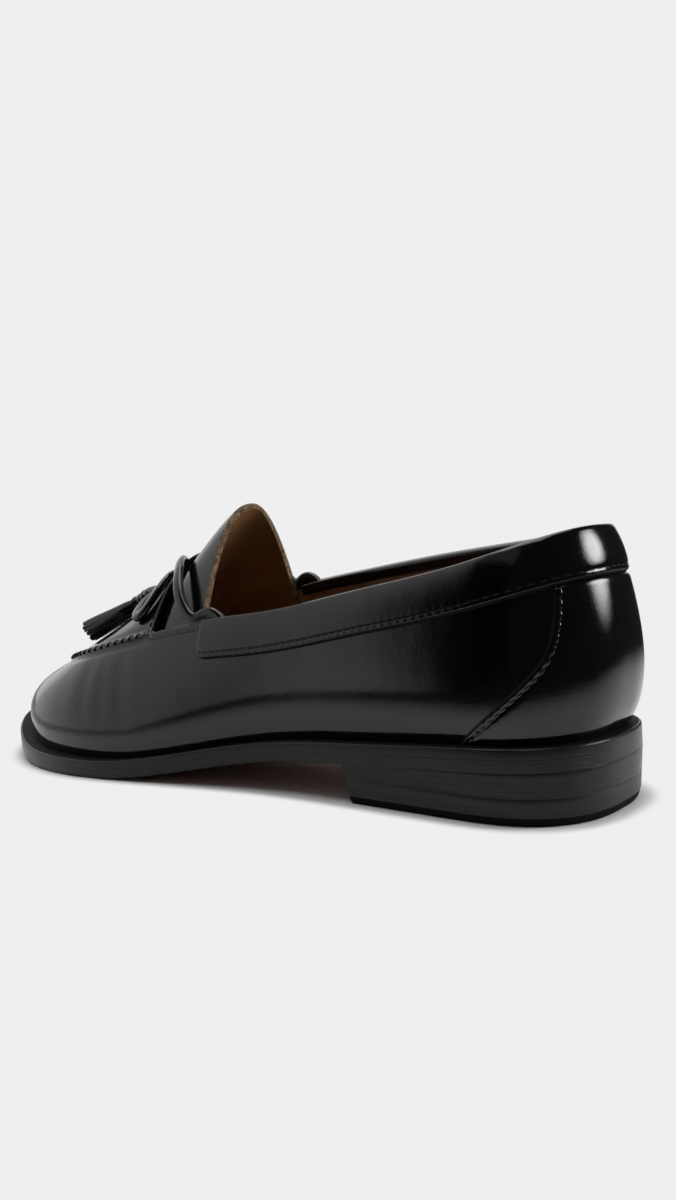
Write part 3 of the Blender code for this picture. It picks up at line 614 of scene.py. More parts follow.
def upper_sheet(count, rows, columns):
    """The upper's outer face: points, faces, outward directions, and where each point lies on it.

    The lie of a point is its distance from the top edge, the run along that edge, its place top_y,
    and 1 on the wall or 0 on the apron.
    """
    places = places_along(count)
    y, sides = round_trip(places)
    size = len(y)
    rises = 1 - (1 - np.linspace(0, 1, rows + 1)) ** ROWS_CLOSER
    walls = []
    for rise in rises:
        level = np.full(size, rise)
        walls.append(np.where(sides[:, None] < 0, wall(-1, y, level), wall(1, y, level)))
    walls = np.array(walls)
    drop = np.cumsum(np.linalg.norm(np.diff(walls[::-1], axis=0), axis=2), axis=0)[::-1]
    drop = np.vstack((drop, np.zeros((1, size))))
    run = walked(walls[-1])
    top_y = walls[-1][:, 1]
    lie = [np.stack((drop[r], run, top_y, np.ones(size)), 1) for r in range(rows + 1)]
    points = [walls.reshape(-1, 3)]
    faces = [ring[::-1] for ring in grid(rows + 1, size, True)]

    start = int(np.argmin(np.abs(UPPER["top_y"](places) - APRON_BACK)))
    across = (1 - np.cos(np.pi * np.arange(columns + 1) / columns)) / 2
    top = rows * size
    used = top + size
    lines = [[top + count] * (columns + 1)]
    for k in range(count - 1, start - 1, -1):
        line = apron(np.full(columns + 1, places[k]), across)
        reach = walked(line)
        points.append(line[1:-1])
        near = np.minimum(reach, reach[-1] - reach)[1:-1]
        lie.append(np.stack((near, 0 * near, line[1:-1, 1], 0 * near), 1))
        lines.append([top + k] + list(range(used, used + columns - 1)) + [top + size - k])
        used += columns - 1
    for ahead, behind in zip(lines, lines[1:]):
        for j in range(columns):
            ring = (behind[j], behind[j + 1], ahead[j + 1], ahead[j])
            faces.append(tuple(dict.fromkeys(ring)))
    points = np.vstack(points)
    return points, faces, vertex_out(points, faces), np.vstack(lie)


def polished(name, grain, gloss, tone=0.0028):
    """Black polished leather: grain in metres deep, gloss the roughness of its smoothest places."""
    made, tree, shader = finish(name)
    place = own_place(tree)
    clouds = noise(tree, place, 26, 3)
    cells = wire(tree, "ShaderNodeTexVoronoi", {"Vector": place, "Scale": 2300}, feature="SMOOTH_F1")
    pores = noise(tree, place, 1100, 3)
    ripple = noise(tree, place, 330, 2)
    pull = noise(tree, place, 60, 2)
    warm = (tone * 1.7, tone * 1.4, tone * 1.25)
    tree.links.new(ramp(tree, clouds, (0.35, (tone, tone * 0.97, tone * 0.97)), (0.75, warm)),
                   shader.inputs["Base Color"])
    tree.links.new(ramp(tree, pores, (0.3, gloss), (0.75, gloss + 0.06)), shader.inputs["Roughness"])
    wavy = relief(tree, ripple, grain * 1.3, relief(tree, pull, grain * 12))
    rough = relief(tree, pores, grain * 1.8, wavy)
    tree.links.new(relief(tree, cells.outputs[0], grain * 0.5, rough), shader.inputs["Normal"])
    shader.inputs["Coat Weight"].default_value = 0.2
    shader.inputs["Coat Roughness"].default_value = 0.04
    return made


calf = polished("polished black calf", 0.000012, 0.10)

points, faces, out, lie = upper_sheet(*UPPER_MESH)
drop, run, top_y, walls = lie.T
seam = SEAM_HIGH * np.exp(-(drop / SEAM_HALF) ** 2)
seam -= GUTTER[0] * np.exp(-((drop - GUTTER[1]) / GUTTER[2]) ** 2)
height = seam * eased(top_y, *SEAM_FADE)
first_stitch = walked(top_edge(-1, np.linspace(0, station_at(WHIP_FROM), 2000)))[-1] + WHIP_PITCH / 2
pleat = 0.5 + 0.5 * np.cos(2 * np.pi * (run - first_stitch) / WHIP_PITCH)
pleat *= np.exp(-(drop / PLEAT_REACH) ** 2)
height -= walls * PLEAT_DEEP * pleat * eased(top_y, *PLEAT_FROM) * eased(drop, *PLEAT_BELOW)
for line_y, lean, wide, deep in FLEX_LINES:
    away = points[:, 1] - line_y - lean * (points[:, 2] / FLEX_LEVEL - 1)
    shown = walls * eased(points[:, 2], *FLEX_FOOT) * eased(drop, *FLEX_BELOW)
    trough = np.exp(-(away / wide) ** 2)
    ridge = np.exp(-(away / wide - FLEX_RIDGE[0]) ** 2)
    height -= deep * shown * (trough - FLEX_RIDGE[1] * ridge)
shown_face = points + out * height[:, None]
upper = piece("black_leather_upper", *between(shown_face, points - out * LEATHER, faces), [calf])
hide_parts("upper")
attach(upper, "root")


# Lining
# Thin tan calf with its natural matt surface, glued to the inside of the upper from the sole to the
# topline. The collar band and the throat's rolled edge cover its rim, and it shows inside the collar.
LINING_CLEAR = 0.02
LINING_MESH = (110, 20, 22)


def unpolished(name, dark, light):
    """Brown leather with its natural matt surface, clouded between two colours."""
    made, tree, shader = finish(name)
    place = own_place(tree)
    clouds = noise(tree, place, 70, 4)
    pores = noise(tree, place, 1400, 4)
    tree.links.new(ramp(tree, clouds, (0.3, dark), (0.7, light)), shader.inputs["Base Color"])
    tree.links.new(ramp(tree, pores, (0.3, 0.46), (0.7, 0.66)), shader.inputs["Roughness"])
    tree.links.new(relief(tree, pores, 0.00009), shader.inputs["Normal"])
    return made


lining_hide = unpolished("tan lining leather", (0.33, 0.195, 0.105), (0.48, 0.30, 0.175))

points, faces, out, lie = upper_sheet(*LINING_MESH)
outer = points - out * (LEATHER + LINING_CLEAR)
lining = piece("brown_lining", *between(outer, points - out * LINED, faces), [lining_hide])
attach(lining, "root")


# Tongue
# A piece of the upper's leather under the apron's rear edge, standing over the instep. Its face is
# polished black, its back is brown, and its cut edge is left raw and shows the tan fibres.
TONGUE_BACK = 152.0
TONGUE_FRONT = 189.0
TONGUE_THICK = 2.5
# How far its face lies below the upper's, and how far its sides reach down inside the walls
TONGUE_LIE = 2.5
TONGUE_TUCK = 6.0
# Columns across, rows from the free edge on, and how much closer they lie there
TONGUE_COLUMNS = 56
TONGUE_ROWS = 41
TONGUE_CLOSER = 1.3

tongue_back = unpolished("brown back of the tongue", (0.26, 0.128, 0.048), (0.40, 0.208, 0.086))

raw_edge, tree, shader = finish("raw tan leather edge")
place = own_place(tree)
tufts = noise(tree, place, 1500, 4)
patches = noise(tree, place, 420, 3)
fluff = arithmetic(tree, "MULTIPLY", arithmetic(tree, "ADD", tufts, patches), 0.5)
colour = ramp(tree, fluff, (0.36, (0.05, 0.024, 0.010)), (0.5, (0.17, 0.105, 0.055)),
              (0.62, (0.34, 0.245, 0.155)))
tree.links.new(colour, shader.inputs["Base Color"])
shader.inputs["Roughness"].default_value = 0.9
tree.links.new(relief(tree, tufts, 0.0004, relief(tree, patches, 0.0008)), shader.inputs["Normal"])


def rises_at(side, y, drops):
    """The rises at which the wall lies the given distances below its top edge, one row for each y.

    The distances are the same for all, or are given in a row for each y.
    """
    rises = np.linspace(1, 0.25, 161)
    path = wall(side, np.repeat(y, len(rises)), np.tile(rises, len(y))).reshape(len(y), len(rises), 3)
    drops = np.broadcast_to(drops, (len(y), np.shape(drops)[-1]))
    return np.array([np.interp(below, walked(line), rises) for below, line in zip(drops, path)])


def tongue_sheets():
    """The tongue's face and back, row by row from its free edge, its sides tucked inside the walls."""
    across = (1 - np.cos(np.pi * np.arange(TONGUE_COLUMNS + 1) / TONGUE_COLUMNS)) / 2
    across = np.clip(across, 0.002, 0.998)
    shares = np.linspace(0, 1, TONGUE_ROWS) ** TONGUE_CLOSER
    places = station_at(TONGUE_BACK + (TONGUE_FRONT - TONGUE_BACK) * shares)
    face = []
    back = []
    for place in places:
        line = np.full(len(across), place)
        points = list(apron(line, across))
        outs = list(apron_out(line, across))
        for side, slot in ((-1, 0), (1, len(points) + 1)):
            rise = rises_at(side, [place], [TONGUE_TUCK])[0]
            points.insert(slot, wall(side, place, rise)[0])
            outs.insert(slot, wall_out(side, place, rise)[0])
        face.append(np.array(points) - np.array(outs) * TONGUE_LIE)
        back.append(np.array(points) - np.array(outs) * (TONGUE_LIE + TONGUE_THICK))
    return np.vstack(face), np.vstack(back), grid(len(places), TONGUE_COLUMNS + 3, False)


face, back, faces = tongue_sheets()
points, solid = between(face, back, faces)
parts = [0] * len(faces) + [1] * len(faces) + [2] * (len(solid) - 2 * len(faces))
tongue = piece("tongue_sheet", points, solid, [calf, tongue_back, raw_edge], parts)
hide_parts("tongue")
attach(tongue, "root")


# Collar band
# A strip of the upper's leather folded over the topline from one throat corner round the heel to the
# other. Its turned lower edge is sewn down, so it swells below the stitches and puckers between them.
BAND_WIDE = 14.0
BAND_END = 149.5
# Distance between cuts, how far the face swells in the middle, and how far the inside stays clear
BAND_STEP = 0.65
BAND_CROWN = 0.65
BAND_CLEAR = 0.1
# The ends: radius of the lower corner, the stretch over which the band thins out, the cuts in it, and
# the least distance from them to the even cuts
BAND_CORNER = 4.5
BAND_THIN = 1.4
BAND_END_CUTS = np.array((1, 0.7, 0.45, 0.25, 0.1, 0.02))
BAND_END_GAP = 0.3
# The turned lower edge in section: distance from the edge, height over the leather under it. Its first
# rows show the cut, and one row lies under the stitches
STITCH_PITCH = 3.1
SEW_LINE = 2.1
LIP = np.array(((0.0, 0.1), (0.1, 0.45), (0.35, 0.85), (0.75, 1.16), (1.0, 1.25), (1.4, 1.27), (1.8, 1.18),
                (SEW_LINE, 1.08), (2.4, 1.18), (2.8, 1.26), (3.4, 1.32), (4.4, 1.34)))
CUT_COLUMNS = 3
SEW_COLUMN = 7
# The face above the edge: distance below the topline. The part turned in: the same, and height over the
# lining
BAND_LEVELS = (8.0, 6.3, 4.6, 3.0, 1.6, 0.5)
BAND_INSIDE = ((0.5, 1.2), (1.6, 1.2), (2.7, 1.15), (3.2, 1.0), (3.5, 0.5))
# The roll over the topline: how far it stands out on each face and over the edge, and how square it is
ROLL_OUT = 1.28
ROLL_HIGH = 1.35
ROLL_SQUARE = 0.7
ROLL_TURNS = np.linspace(0.08, 0.92, 9) * np.pi
# Height of the puckers, and where they swell: distance from the edge, half width, share of the height
PUCKER = 0.045
PUCKER_SWELLS = ((1.0, 0.7, 1.0), (3.0, 0.6, 0.3))

dyed_cut = fine_grained("dyed cut edge", 2600, (0.002, 0.006), (0.6, 0.8), 0.00006, 0.15)


def lip_height(distance, run):
    """Height that the puckers add to the turned edge: more between two stitches, less at one."""
    swell = sum(share * np.exp(-((distance - middle) / half) ** 2) for middle, half, share in PUCKER_SWELLS)
    return PUCKER * swell * np.cos(2 * np.pi * run / STITCH_PITCH)


def tube(rings):
    """A solid along a row of rings, closed at both ends."""
    size = len(rings[0])
    last = (len(rings) - 1) * size
    faces = grid(len(rings), size, True)
    return np.vstack(rings), faces + [tuple(range(size)), tuple(last + i for i in reversed(range(size)))]


def band_side(side):
    """Cuts through the binding along one side from the heel, and the run along the topline."""
    fine = np.linspace(0, 1, 900) ** 1.5 * station_at(BAND_END)
    length = walked(top_edge(side, fine))
    end_cuts = length[-1] - BAND_THIN * BAND_END_CUTS
    run = np.concatenate((np.arange(0, end_cuts[0] - BAND_END_GAP, BAND_STEP), end_cuts))
    y = np.interp(run, length, fine)
    left = length[-1] - run
    corner = np.maximum(BAND_CORNER - left, 0)
    wide = 1 - (BAND_CORNER - np.sqrt(BAND_CORNER ** 2 - corner ** 2)) / BAND_WIDE
    thin = np.sqrt(1 - np.maximum(1 - left / BAND_THIN, 0) ** 2)
    drops = np.concatenate((BAND_WIDE - LIP[:, 0], BAND_LEVELS))
    heights = np.concatenate((LIP[:, 1], np.full(len(BAND_LEVELS), LIP[-1, 1])))
    inside, inside_high = np.array(BAND_INSIDE).T
    rises = rises_at(side, y, wide[:, None] * np.concatenate((drops, inside)))
    cut = []
    for i, height in enumerate(heights):
        lift = height + lip_height(BAND_WIDE - drops[i], run) * (i > CUT_COLUMNS)
        lift = lift + BAND_CROWN * max(0, 1 - (2 * drops[i] / BAND_WIDE - 1) ** 2)
        cut.append(wall(side, y, rises[:, i]) + wall_out(side, y, rises[:, i]) * (lift * thin)[:, None])
    edge = wall(side, y, np.ones(len(y)))
    edge_out = wall_out(side, y, np.ones(len(y)))
    climb = climb_at(side, y)
    for turn in ROLL_TURNS:
        rolled = math.copysign(abs(math.cos(turn)) ** ROLL_SQUARE, math.cos(turn))
        outwards = rolled * (LINED / 2 + ROLL_OUT * thin) - LINED / 2
        upwards = math.sin(turn) ** ROLL_SQUARE * ROLL_HIGH * thin
        cut.append(edge + edge_out * outwards[:, None] + climb * upwards[:, None])
    for i, high in enumerate(inside_high):
        rise = rises[:, len(drops) + i]
        cut.append(wall(side, y, rise) - wall_out(side, y, rise) * (LINED + high * thin)[:, None])
    cut.append(wall(side, y, rises[:, -1]) - wall_out(side, y, rises[:, -1]) * (LINED + BAND_CLEAR))
    cut.append(edge - edge_out * (LINED + BAND_CLEAR) + climb * BAND_CLEAR)
    cut.append(edge + edge_out * BAND_CLEAR + climb * BAND_CLEAR)
    return np.stack(cut, 1), run


band_lateral, run_lateral = band_side(-1)
band_medial, run_medial = band_side(1)
cuts = np.concatenate((band_lateral[::-1], band_medial[1:]))
size = cuts.shape[1]
points, faces = tube(cuts)
raw = [min(ring) % size < CUT_COLUMNS and max(ring) % size <= CUT_COLUMNS for ring in faces[:-2]]
band = piece("collar_binding", points, faces, [calf, dyed_cut], raw + [False, False])
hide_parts("collar_band")
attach(band, "root")
band_seams = [(band_lateral[:, SEW_COLUMN], run_lateral), (band_medial[:, SEW_COLUMN], run_medial)]


# Heel counter
# A panel of the upper's leather over the back of both quarters, under the collar band. Its front edge
# curves down to the sole, turned and sewn like the band's, and gathers in small puckers at the stitches.

# The front edge: height over the floor, and distance from the back of the heel
COUNTER_EDGE = np.array(((20, 41), (24, 37.2), (31, 29.2), (39, 20), (46.4, 13.2), (55.7, 9.9), (63, 9.6),
                         (72, 10.4)))
# Its top below the topline, the furthest that it may reach, its thickness, and its gap to the upper
COUNTER_TOP = 13.0
COUNTER_REACH = 60.0
COUNTER_THICK = 1.1
COUNTER_CLEAR = 0.03
# How the panel dips under the band: distance below the topline, and the height it may have there
COUNTER_DIP = np.array(((13.0, 0.12), (13.9, 0.12), (14.2, 0.4), (14.6, 0.8), (15.2, 1.02),
                        (16.0, COUNTER_THICK)))
# Rows below a share of its height and close ones above it, and columns behind the turned edge
COUNTER_ROWS = (100, 18)
COUNTER_CLOSE = 0.93
COUNTER_SPREAD = 22
# The turned edge against the band's: its height, and that of its puckers
COUNTER_SCALE = COUNTER_THICK / LIP[-1, 1]
COUNTER_PUCKER = 2.0
# The stitches draw a groove: depth, half width, and its even share and the share that comes and goes
COUNTER_GROOVE = 0.34
COUNTER_GROOVE_HALF = 0.55
COUNTER_DRAWN = (0.7, 0.3)
# The seam ends at this share of the panel's height, under the band
COUNTER_SEWN = 0.985


def counter_rows():
    """Shares of the panel's height, close together under the band."""
    below = np.linspace(0, COUNTER_CLOSE, COUNTER_ROWS[0], endpoint=False)
    return np.concatenate((below, np.linspace(COUNTER_CLOSE, 1, COUNTER_ROWS[1] + 1)))


def counter_side(side):
    """Rows of points on one side, from the front edge to the back of the heel, and the front seam's run."""
    front = spline(COUNTER_EDGE[:, 0], COUNTER_EDGE[:, 1])
    fine = np.linspace(0, 1, 220) ** 1.3 * COUNTER_REACH
    tops = rises_at(side, fine, [COUNTER_TOP])[:, 0]
    shares = counter_rows()
    lines = []
    edge = []
    for share in shares:
        line = wall(side, fine, share * tops)
        reach = np.interp(0, line[:, 1] - front(line[:, 2]), fine)
        edge.append(reach)
        lines.append(np.linspace(reach, 0, 160))
    edge_points = np.array([wall(side, r, s * np.interp(r, fine, tops))[0] for r, s in zip(edge, shares)])
    run = walked(edge_points)
    ahead = unit(np.gradient(edge_points, axis=0))
    rows = []
    for share, y, along, start in zip(shares, lines, ahead, run):
        path = wall(side, y, share * np.interp(y, fine, tops))
        back = path[4] - path[0]
        back /= np.linalg.norm(back)
        lean = float(back @ along)
        square = math.sqrt(1 - lean * lean)
        reach = walked(path)
        distance = LIP[:, 0] / square
        spread = np.linspace(0, 1, COUNTER_SPREAD + 1)[1:]
        distance = np.concatenate((distance, distance[-1] + (reach[-1] - distance[-1]) * spread))
        at = np.interp(distance, reach, y)
        rise = share * np.interp(at, fine, tops)
        point = wall(side, at, rise)
        near = distance * square
        sewn = start + distance * lean
        pucker = lip_height(near, sewn)
        pucker[:CUT_COLUMNS + 1] = 0
        drawn = COUNTER_DRAWN[0] + COUNTER_DRAWN[1] * np.cos(2 * np.pi * sewn / STITCH_PITCH)
        groove = COUNTER_GROOVE * drawn * np.exp(-((near - SEW_LINE) / COUNTER_GROOVE_HALF) ** 2)
        height = (np.interp(near, *LIP.T) + COUNTER_PUCKER * pucker - groove) * COUNTER_SCALE
        below = walked(wall(side, np.full(40, at[0]), np.linspace(1, rise[0], 40)))[-1]
        height = np.minimum(height, np.interp(below, *COUNTER_DIP.T))
        rows.append((point, wall_out(side, at, rise), height, sewn))
    return [np.array(part) for part in zip(*rows)]


lateral = counter_side(-1)
medial = counter_side(1)
joined = [np.concatenate((a, b[:, -2::-1]), axis=1) for a, b in zip(lateral, medial)]
point, out = (part.reshape(-1, 3) for part in joined[:2])
height = joined[2].reshape(-1, 1)
rows, size = joined[2].shape
faces = grid(rows, size, False)
points, solid = between(point + out * height, point + out * COUNTER_CLEAR, faces)
raw = [max(ring) % size <= CUT_COLUMNS or min(ring) % size >= size - 1 - CUT_COLUMNS for ring in faces]
raw += [False] * (len(solid) - len(faces))
counter = piece("heel_counter_panel", points, solid, [calf, dyed_cut], raw)
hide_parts("heel_counter")
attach(counter, "root")
counter_seams = []
for point, out, height, run in (lateral, medial):
    kept = counter_rows() < COUNTER_SEWN
    counter_seams.append(((point + out * height[:, :, None])[kept, SEW_COLUMN], run[kept, SEW_COLUMN]))


# Throat edge
# From the band's ends over the instep, upper and lining are folded in together to a narrow roll, which
# covers the raw lining. The fold is sewn down a little way in from the edge.

# Where it starts along the shoe, and how far in from the edge and out from the leather its seam lies
THROAT_FROM = BAND_END - 1.0
THROAT_SEW = 2.6
THROAT_SEW_OUT = 0.05
# The roll in section: how far it lies below the edge, and out over the upper's face
THROAT_ROLL = np.array(((1.9, -0.1), (1.85, 0.12), (1.4, 0.3), (0.6, 0.42), (-0.1, 0.36), (-0.5, 0.02),
                        (-0.68, -0.5), (-0.72, -1.1), (-0.68, -1.7), (-0.5, -2.15), (-0.1, -2.3),
                        (0.3, -2.28), (0.5, -1.2)))
# The line along the edge: distance between its points, and how many to each side round off its corners
THROAT_STEP = 0.5
THROAT_ROUND = 3


def throat_line():
    """The throat's edge from one end of the band to the other: points, outward and rim directions."""
    sides = station_at(np.linspace(THROAT_FROM, APRON_BACK, 40))
    across = (1 - np.cos(np.pi * np.linspace(0, 1, 110))) / 2
    rear = np.full(len(across), station_at(APRON_BACK))
    points = [apron(rear, across)]
    outs = [apron_out(rear, across)]
    rims = [unit(apron(rear - 0.1, across) - apron(rear + 0.1, across))]
    for side, order, slot in ((-1, 1, 0), (1, -1, 2)):
        y = sides[::order]
        points.insert(slot, top_edge(side, y))
        outs.insert(slot, wall_out(side, y, np.ones(len(y))))
        rims.insert(slot, climb_at(side, y))
    points, outs, rims = (np.vstack(parts) for parts in (points, outs, rims))
    run = walked(points)
    steps = np.linspace(0, run[-1], int(run[-1] / THROAT_STEP))
    rounded = []
    for part in (points, outs, rims):
        even = np.stack([np.interp(steps, run, part[:, i]) for i in range(3)], 1)
        wider = np.pad(even, ((THROAT_ROUND, THROAT_ROUND), (0, 0)), mode="edge")
        spans = [wider[i:i + len(even)] for i in range(2 * THROAT_ROUND + 1)]
        rounded.append(np.mean(spans, axis=0))
    points, outs, rims = rounded
    return points, unit(outs), unit(rims)


line, outs, rims = throat_line()
below, outwards = THROAT_ROLL.T
rings = [point + np.outer(outwards, out) - np.outer(below, rim)
         for point, out, rim in zip(line, outs, rims)]
throat = piece("throat_roll", *tube(rings), [calf])
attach(throat, "root")
throat_seam = line - rims * THROAT_SEW + outs * THROAT_SEW_OUT


# Stitches
# Lockstitch in black thread holds the band, the counter and the throat's fold, and the apron's raised
# seam is whipped over by hand. Each stitch is a short bowed piece of thread that sinks in at both ends.

# Each kind of stitch: length, bow, radius of the thread
STITCH_SIZES = ("Stitch length", "Bow", "Thread radius")
BAND_STITCH = (2.4, 0.14, 0.22)
COUNTER_STITCH = (2.3, 0.34, 0.46)
WHIP_STITCH = (3.4, 1.0, 0.36)
# The whip stitches: how far they lie over the seam, slant along it and lean in over it
WHIP_OVER = 0.1
WHIP_SLANT = 0.35
WHIP_LEAN = 0.45
# The line inside the shoe that lockstitches face away from: its rear and front ends, and its height
INNER_LINE = (32, 245)
INNER_HIGH = 46.0

waxed_thread = fine_grained("waxed black thread", 3800, (0.003, 0.010), (0.09, 0.2), 0.00003, 0.5, 2,
                            coat=(0.5, 0.06))
dull_thread = fine_grained("dull black thread", 3800, (0.002, 0.006), (0.3, 0.45), 0.00004, 0.2, 2)


def stitch_tree():
    """A node tree that lays one bowed stitch at each point, along one direction and off another."""
    made = bpy.data.node_groups.new("bowed stitches", "GeometryNodeTree")
    made.is_modifier = True
    made.interface.new_socket("Geometry", in_out="INPUT", socket_type="NodeSocketGeometry")
    for label in STITCH_SIZES:
        made.interface.new_socket(label, in_out="INPUT", socket_type="NodeSocketFloat")
    made.interface.new_socket("Thread", in_out="INPUT", socket_type="NodeSocketMaterial")
    made.interface.new_socket("Geometry", in_out="OUTPUT", socket_type="NodeSocketGeometry")
    given = wire(made, "NodeGroupInput", {}).outputs
    half = arithmetic(made, "MULTIPLY", given["Stitch length"], 0.5)
    back = arithmetic(made, "MULTIPLY", half, -1.0)
    sunk = arithmetic(made, "MULTIPLY", given["Bow"], -1.0)
    start = wire(made, "ShaderNodeCombineXYZ", {"X": back, "Z": sunk}).outputs[0]
    crest = wire(made, "ShaderNodeCombineXYZ", {"Z": given["Bow"]}).outputs[0]
    end = wire(made, "ShaderNodeCombineXYZ", {"X": half, "Z": sunk}).outputs[0]
    bowed = wire(made, "GeometryNodeCurveQuadraticBezier",
                 {"Resolution": 5, "Start": start, "Middle": crest, "End": end}).outputs[0]
    strand = wire(made, "GeometryNodeCurvePrimitiveCircle",
                  {"Resolution": 6, "Radius": given["Thread radius"]}).outputs[0]
    stitch = wire(made, "GeometryNodeCurveToMesh",
                  {"Curve": bowed, "Profile Curve": strand, "Fill Caps": True}).outputs[0]
    along, off = (wire(made, "GeometryNodeInputNamedAttribute", {"Name": label}, data_type="FLOAT_VECTOR")
                  for label in ("along", "off"))
    turned = wire(made, "FunctionNodeAxesToRotation",
                  {"Primary Axis": along.outputs[0], "Secondary Axis": off.outputs[0]},
                  primary_axis="X", secondary_axis="Z").outputs[0]
    laid = wire(made, "GeometryNodeInstanceOnPoints",
                {"Points": given["Geometry"], "Instance": stitch, "Rotation": turned}).outputs[0]
    whole = wire(made, "GeometryNodeRealizeInstances", {"Geometry": laid}).outputs[0]
    shaded = wire(made, "GeometryNodeSetMaterial", {"Geometry": whole, "Material": given["Thread"]})
    wire(made, "NodeGroupOutput", {"Geometry": shaded.outputs[0]})
    return made


STITCHES = stitch_tree()


def sew(name, points, along, off, sizes, thread):
    """A row of stitches as one plain mesh. Sizes are in millimetres."""
    mesh = bpy.data.meshes.new(name + "_holes")
    mesh.from_pydata((points * 0.001 + (0, HEEL_BACK, 0)).tolist(), [], [])
    for label, vectors in (("along", along), ("off", off)):
        mesh.attributes.new(label, "FLOAT_VECTOR", "POINT").data.foreach_set("vector", np.ravel(vectors))
    holes = bpy.data.objects.new(name + "_holes", mesh)
    bpy.context.collection.objects.link(holes)
    lay = holes.modifiers.new("stitches", "NODES")
    lay.node_group = STITCHES
    inputs = {label: size * 0.001 for label, size in zip(STITCH_SIZES, sizes)}
    inputs["Thread"] = thread
    for item in STITCHES.interface.items_tree:
        if item.in_out == "INPUT" and item.name in inputs:
            lay[item.identifier] = inputs[item.name]
    ready = holes.evaluated_get(bpy.context.evaluated_depsgraph_get())
    made = bpy.data.objects.new(name, bpy.data.meshes.new_from_object(ready))
    bpy.data.objects.remove(holes)
    made.data.shade_smooth()
    bpy.context.collection.objects.link(made)
    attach(made, "root")


def along_seam(line, run, pitch, first):
    """Points at even steps along a seam, and the seam's direction there."""
    steps = np.arange(run[0] + first, run[-1] - 0.3 * pitch, pitch)
    at = np.stack([np.interp(steps, run, line[:, i]) for i in range(3)], 1)
    ahead = np.stack([np.interp(steps, run, np.gradient(line[:, i], run)) for i in range(3)], 1)
    return at, unit(ahead)


def away_from(points):
    """Outward directions near the shoe's skin, away from its inner line."""
    along = np.clip(points[:, 1], *INNER_LINE)
    return unit(points - np.stack((0 * along, along, np.full(len(points), INNER_HIGH)), 1))


throat_seams = [(throat_seam, walked(throat_seam))]
for name, seams, sizes, thread in (
        ("band_lockstitches", band_seams, BAND_STITCH, dull_thread),
        ("throat_lockstitches", throat_seams, BAND_STITCH, dull_thread),
        ("counter_lockstitches", counter_seams, COUNTER_STITCH, waxed_thread)):
    rows = []
    for line, run in seams:
        order = np.argsort(run)
        start = math.ceil(run.min() / STITCH_PITCH - 0.5) * STITCH_PITCH + STITCH_PITCH / 2 - run.min()
        at, ahead = along_seam(line[order], run[order], STITCH_PITCH, start)
        rows.append((at, ahead, away_from(at)))
    at, ahead, off = (np.vstack(part) for part in zip(*rows))
    sew(name, at, ahead, off, sizes, thread)

fine = np.linspace(station_at(WHIP_FROM), SOLE_LONG, 600)
seam_line = np.vstack((top_edge(-1, fine), top_edge(1, fine)[-2::-1]))
seam_run = walked(seam_line)
at, ahead = along_seam(seam_line, seam_run, WHIP_PITCH, WHIP_PITCH / 2)
up = np.array((0, 0, 1.0))
off = up - WHIP_LEAN * unit(np.cross(ahead, up))
off = unit(off - ahead * (off * ahead).sum(1)[:, None])
over = unit(np.cross(off, ahead) + WHIP_SLANT * ahead)
sew("apron_whip_stitches", at + off * (SEAM_HIGH + WHIP_OVER), over, off, WHIP_STITCH, waxed_thread)


# Thongs and bow
# A rolled leather lace comes out of the collar band at each throat corner, crosses the vamp and is tied
# over the apron's rear edge in a flat knot with a loop to each side.

# The lace in section: width, thickness, sides, and the power that makes it squarer than round
LACE_WIDE = 4.6
LACE_THICK = 2.8
LACE_SIDES = 18
LACE_SQUARE = 0.72
# The domed ends: how far they stand out, and the turns of the dome at which they have a ring
LACE_BULGE = 0.3 * LACE_THICK
LACE_DOME = (1.3, 0.8)
# Its gap to the leather, the height of a loop's middle line, and the cuts along thong and loop
LACE_REST = 0.3
LOOP_LIFT = LACE_REST + LACE_THICK / 2 + 0.2
THONG_CUTS = 60
LOOP_CUTS = 70
# The knot: its place, size across, along and up, turns of the lace, and how deep they part
KNOT_Y = 187.0
KNOT_SIZE = (11.0, 9.0, 5.6)
KNOT_TURNS = 3
KNOT_GROOVE = 0.14
KNOT_SIDES = 40
KNOT_RINGS = 61
KNOT_SQUARE = 0.7
# Its ends: the share of half its length where they are cut, and how they are rounded off
KNOT_CUT = 0.985
KNOT_ROUND = (3.2, 2.6)
# The thong's route: place along the shoe, share of the way in from the edge, height over the leather,
# and height straight up over the end of the binding
THONG_ROUTE = ((140.5, 0.0, 0.0, -1.6), (143.5, 0.0, 0.0, 1.2), (148, 0.0, 0.1, 2.3), (153, 0.0, 0.5, 0.9),
               (160, 0.08, 1.5, 0.6), (168, 0.32, 1.7, 0), (177, 0.65, 1.7, 0), (182.6, 0.84, 1.9, 0),
               (185.4, 0.91, 2.2, 0))
# Where it turns from standing on edge to lying flat
THONG_TURN = (148.0, 164.0)
# One loop of the bow: distance out from the knot's middle, and forward of it
LOOP_ROUTE = ((3.4, 0.2), (6.6, -0.4), (13, -3.0), (21, -3.6), (26, 1.0), (23, 5.6), (14, 5.6), (6.8, 3.4),
              (3.4, 2.2))

lace_leather = polished("polished black lace", 0.000014, 0.14)


def vamp_point(x, top_y, lift):
    """A point over the apron at x and top_y, raised by lift, and the apron's outward direction there."""
    line = np.array((station_at(top_y),))
    left = top_edge(-1, line)[0]
    right = top_edge(1, line)[0]
    across = np.clip((x - left[0]) / (right[0] - left[0]), 0.004, 0.996)
    out = apron_out(line, np.array((across,)))[0]
    return apron(line, across)[0] + out * lift, out


def smooth_path(points, count):
    """A smooth curve through a few points, read at count places."""
    points = np.asarray(points, float)
    length = walked(points)
    q = np.linspace(0, length[-1], count)
    return np.stack([spline(length, points[:, i])(q) for i in range(points.shape[1])], 1)


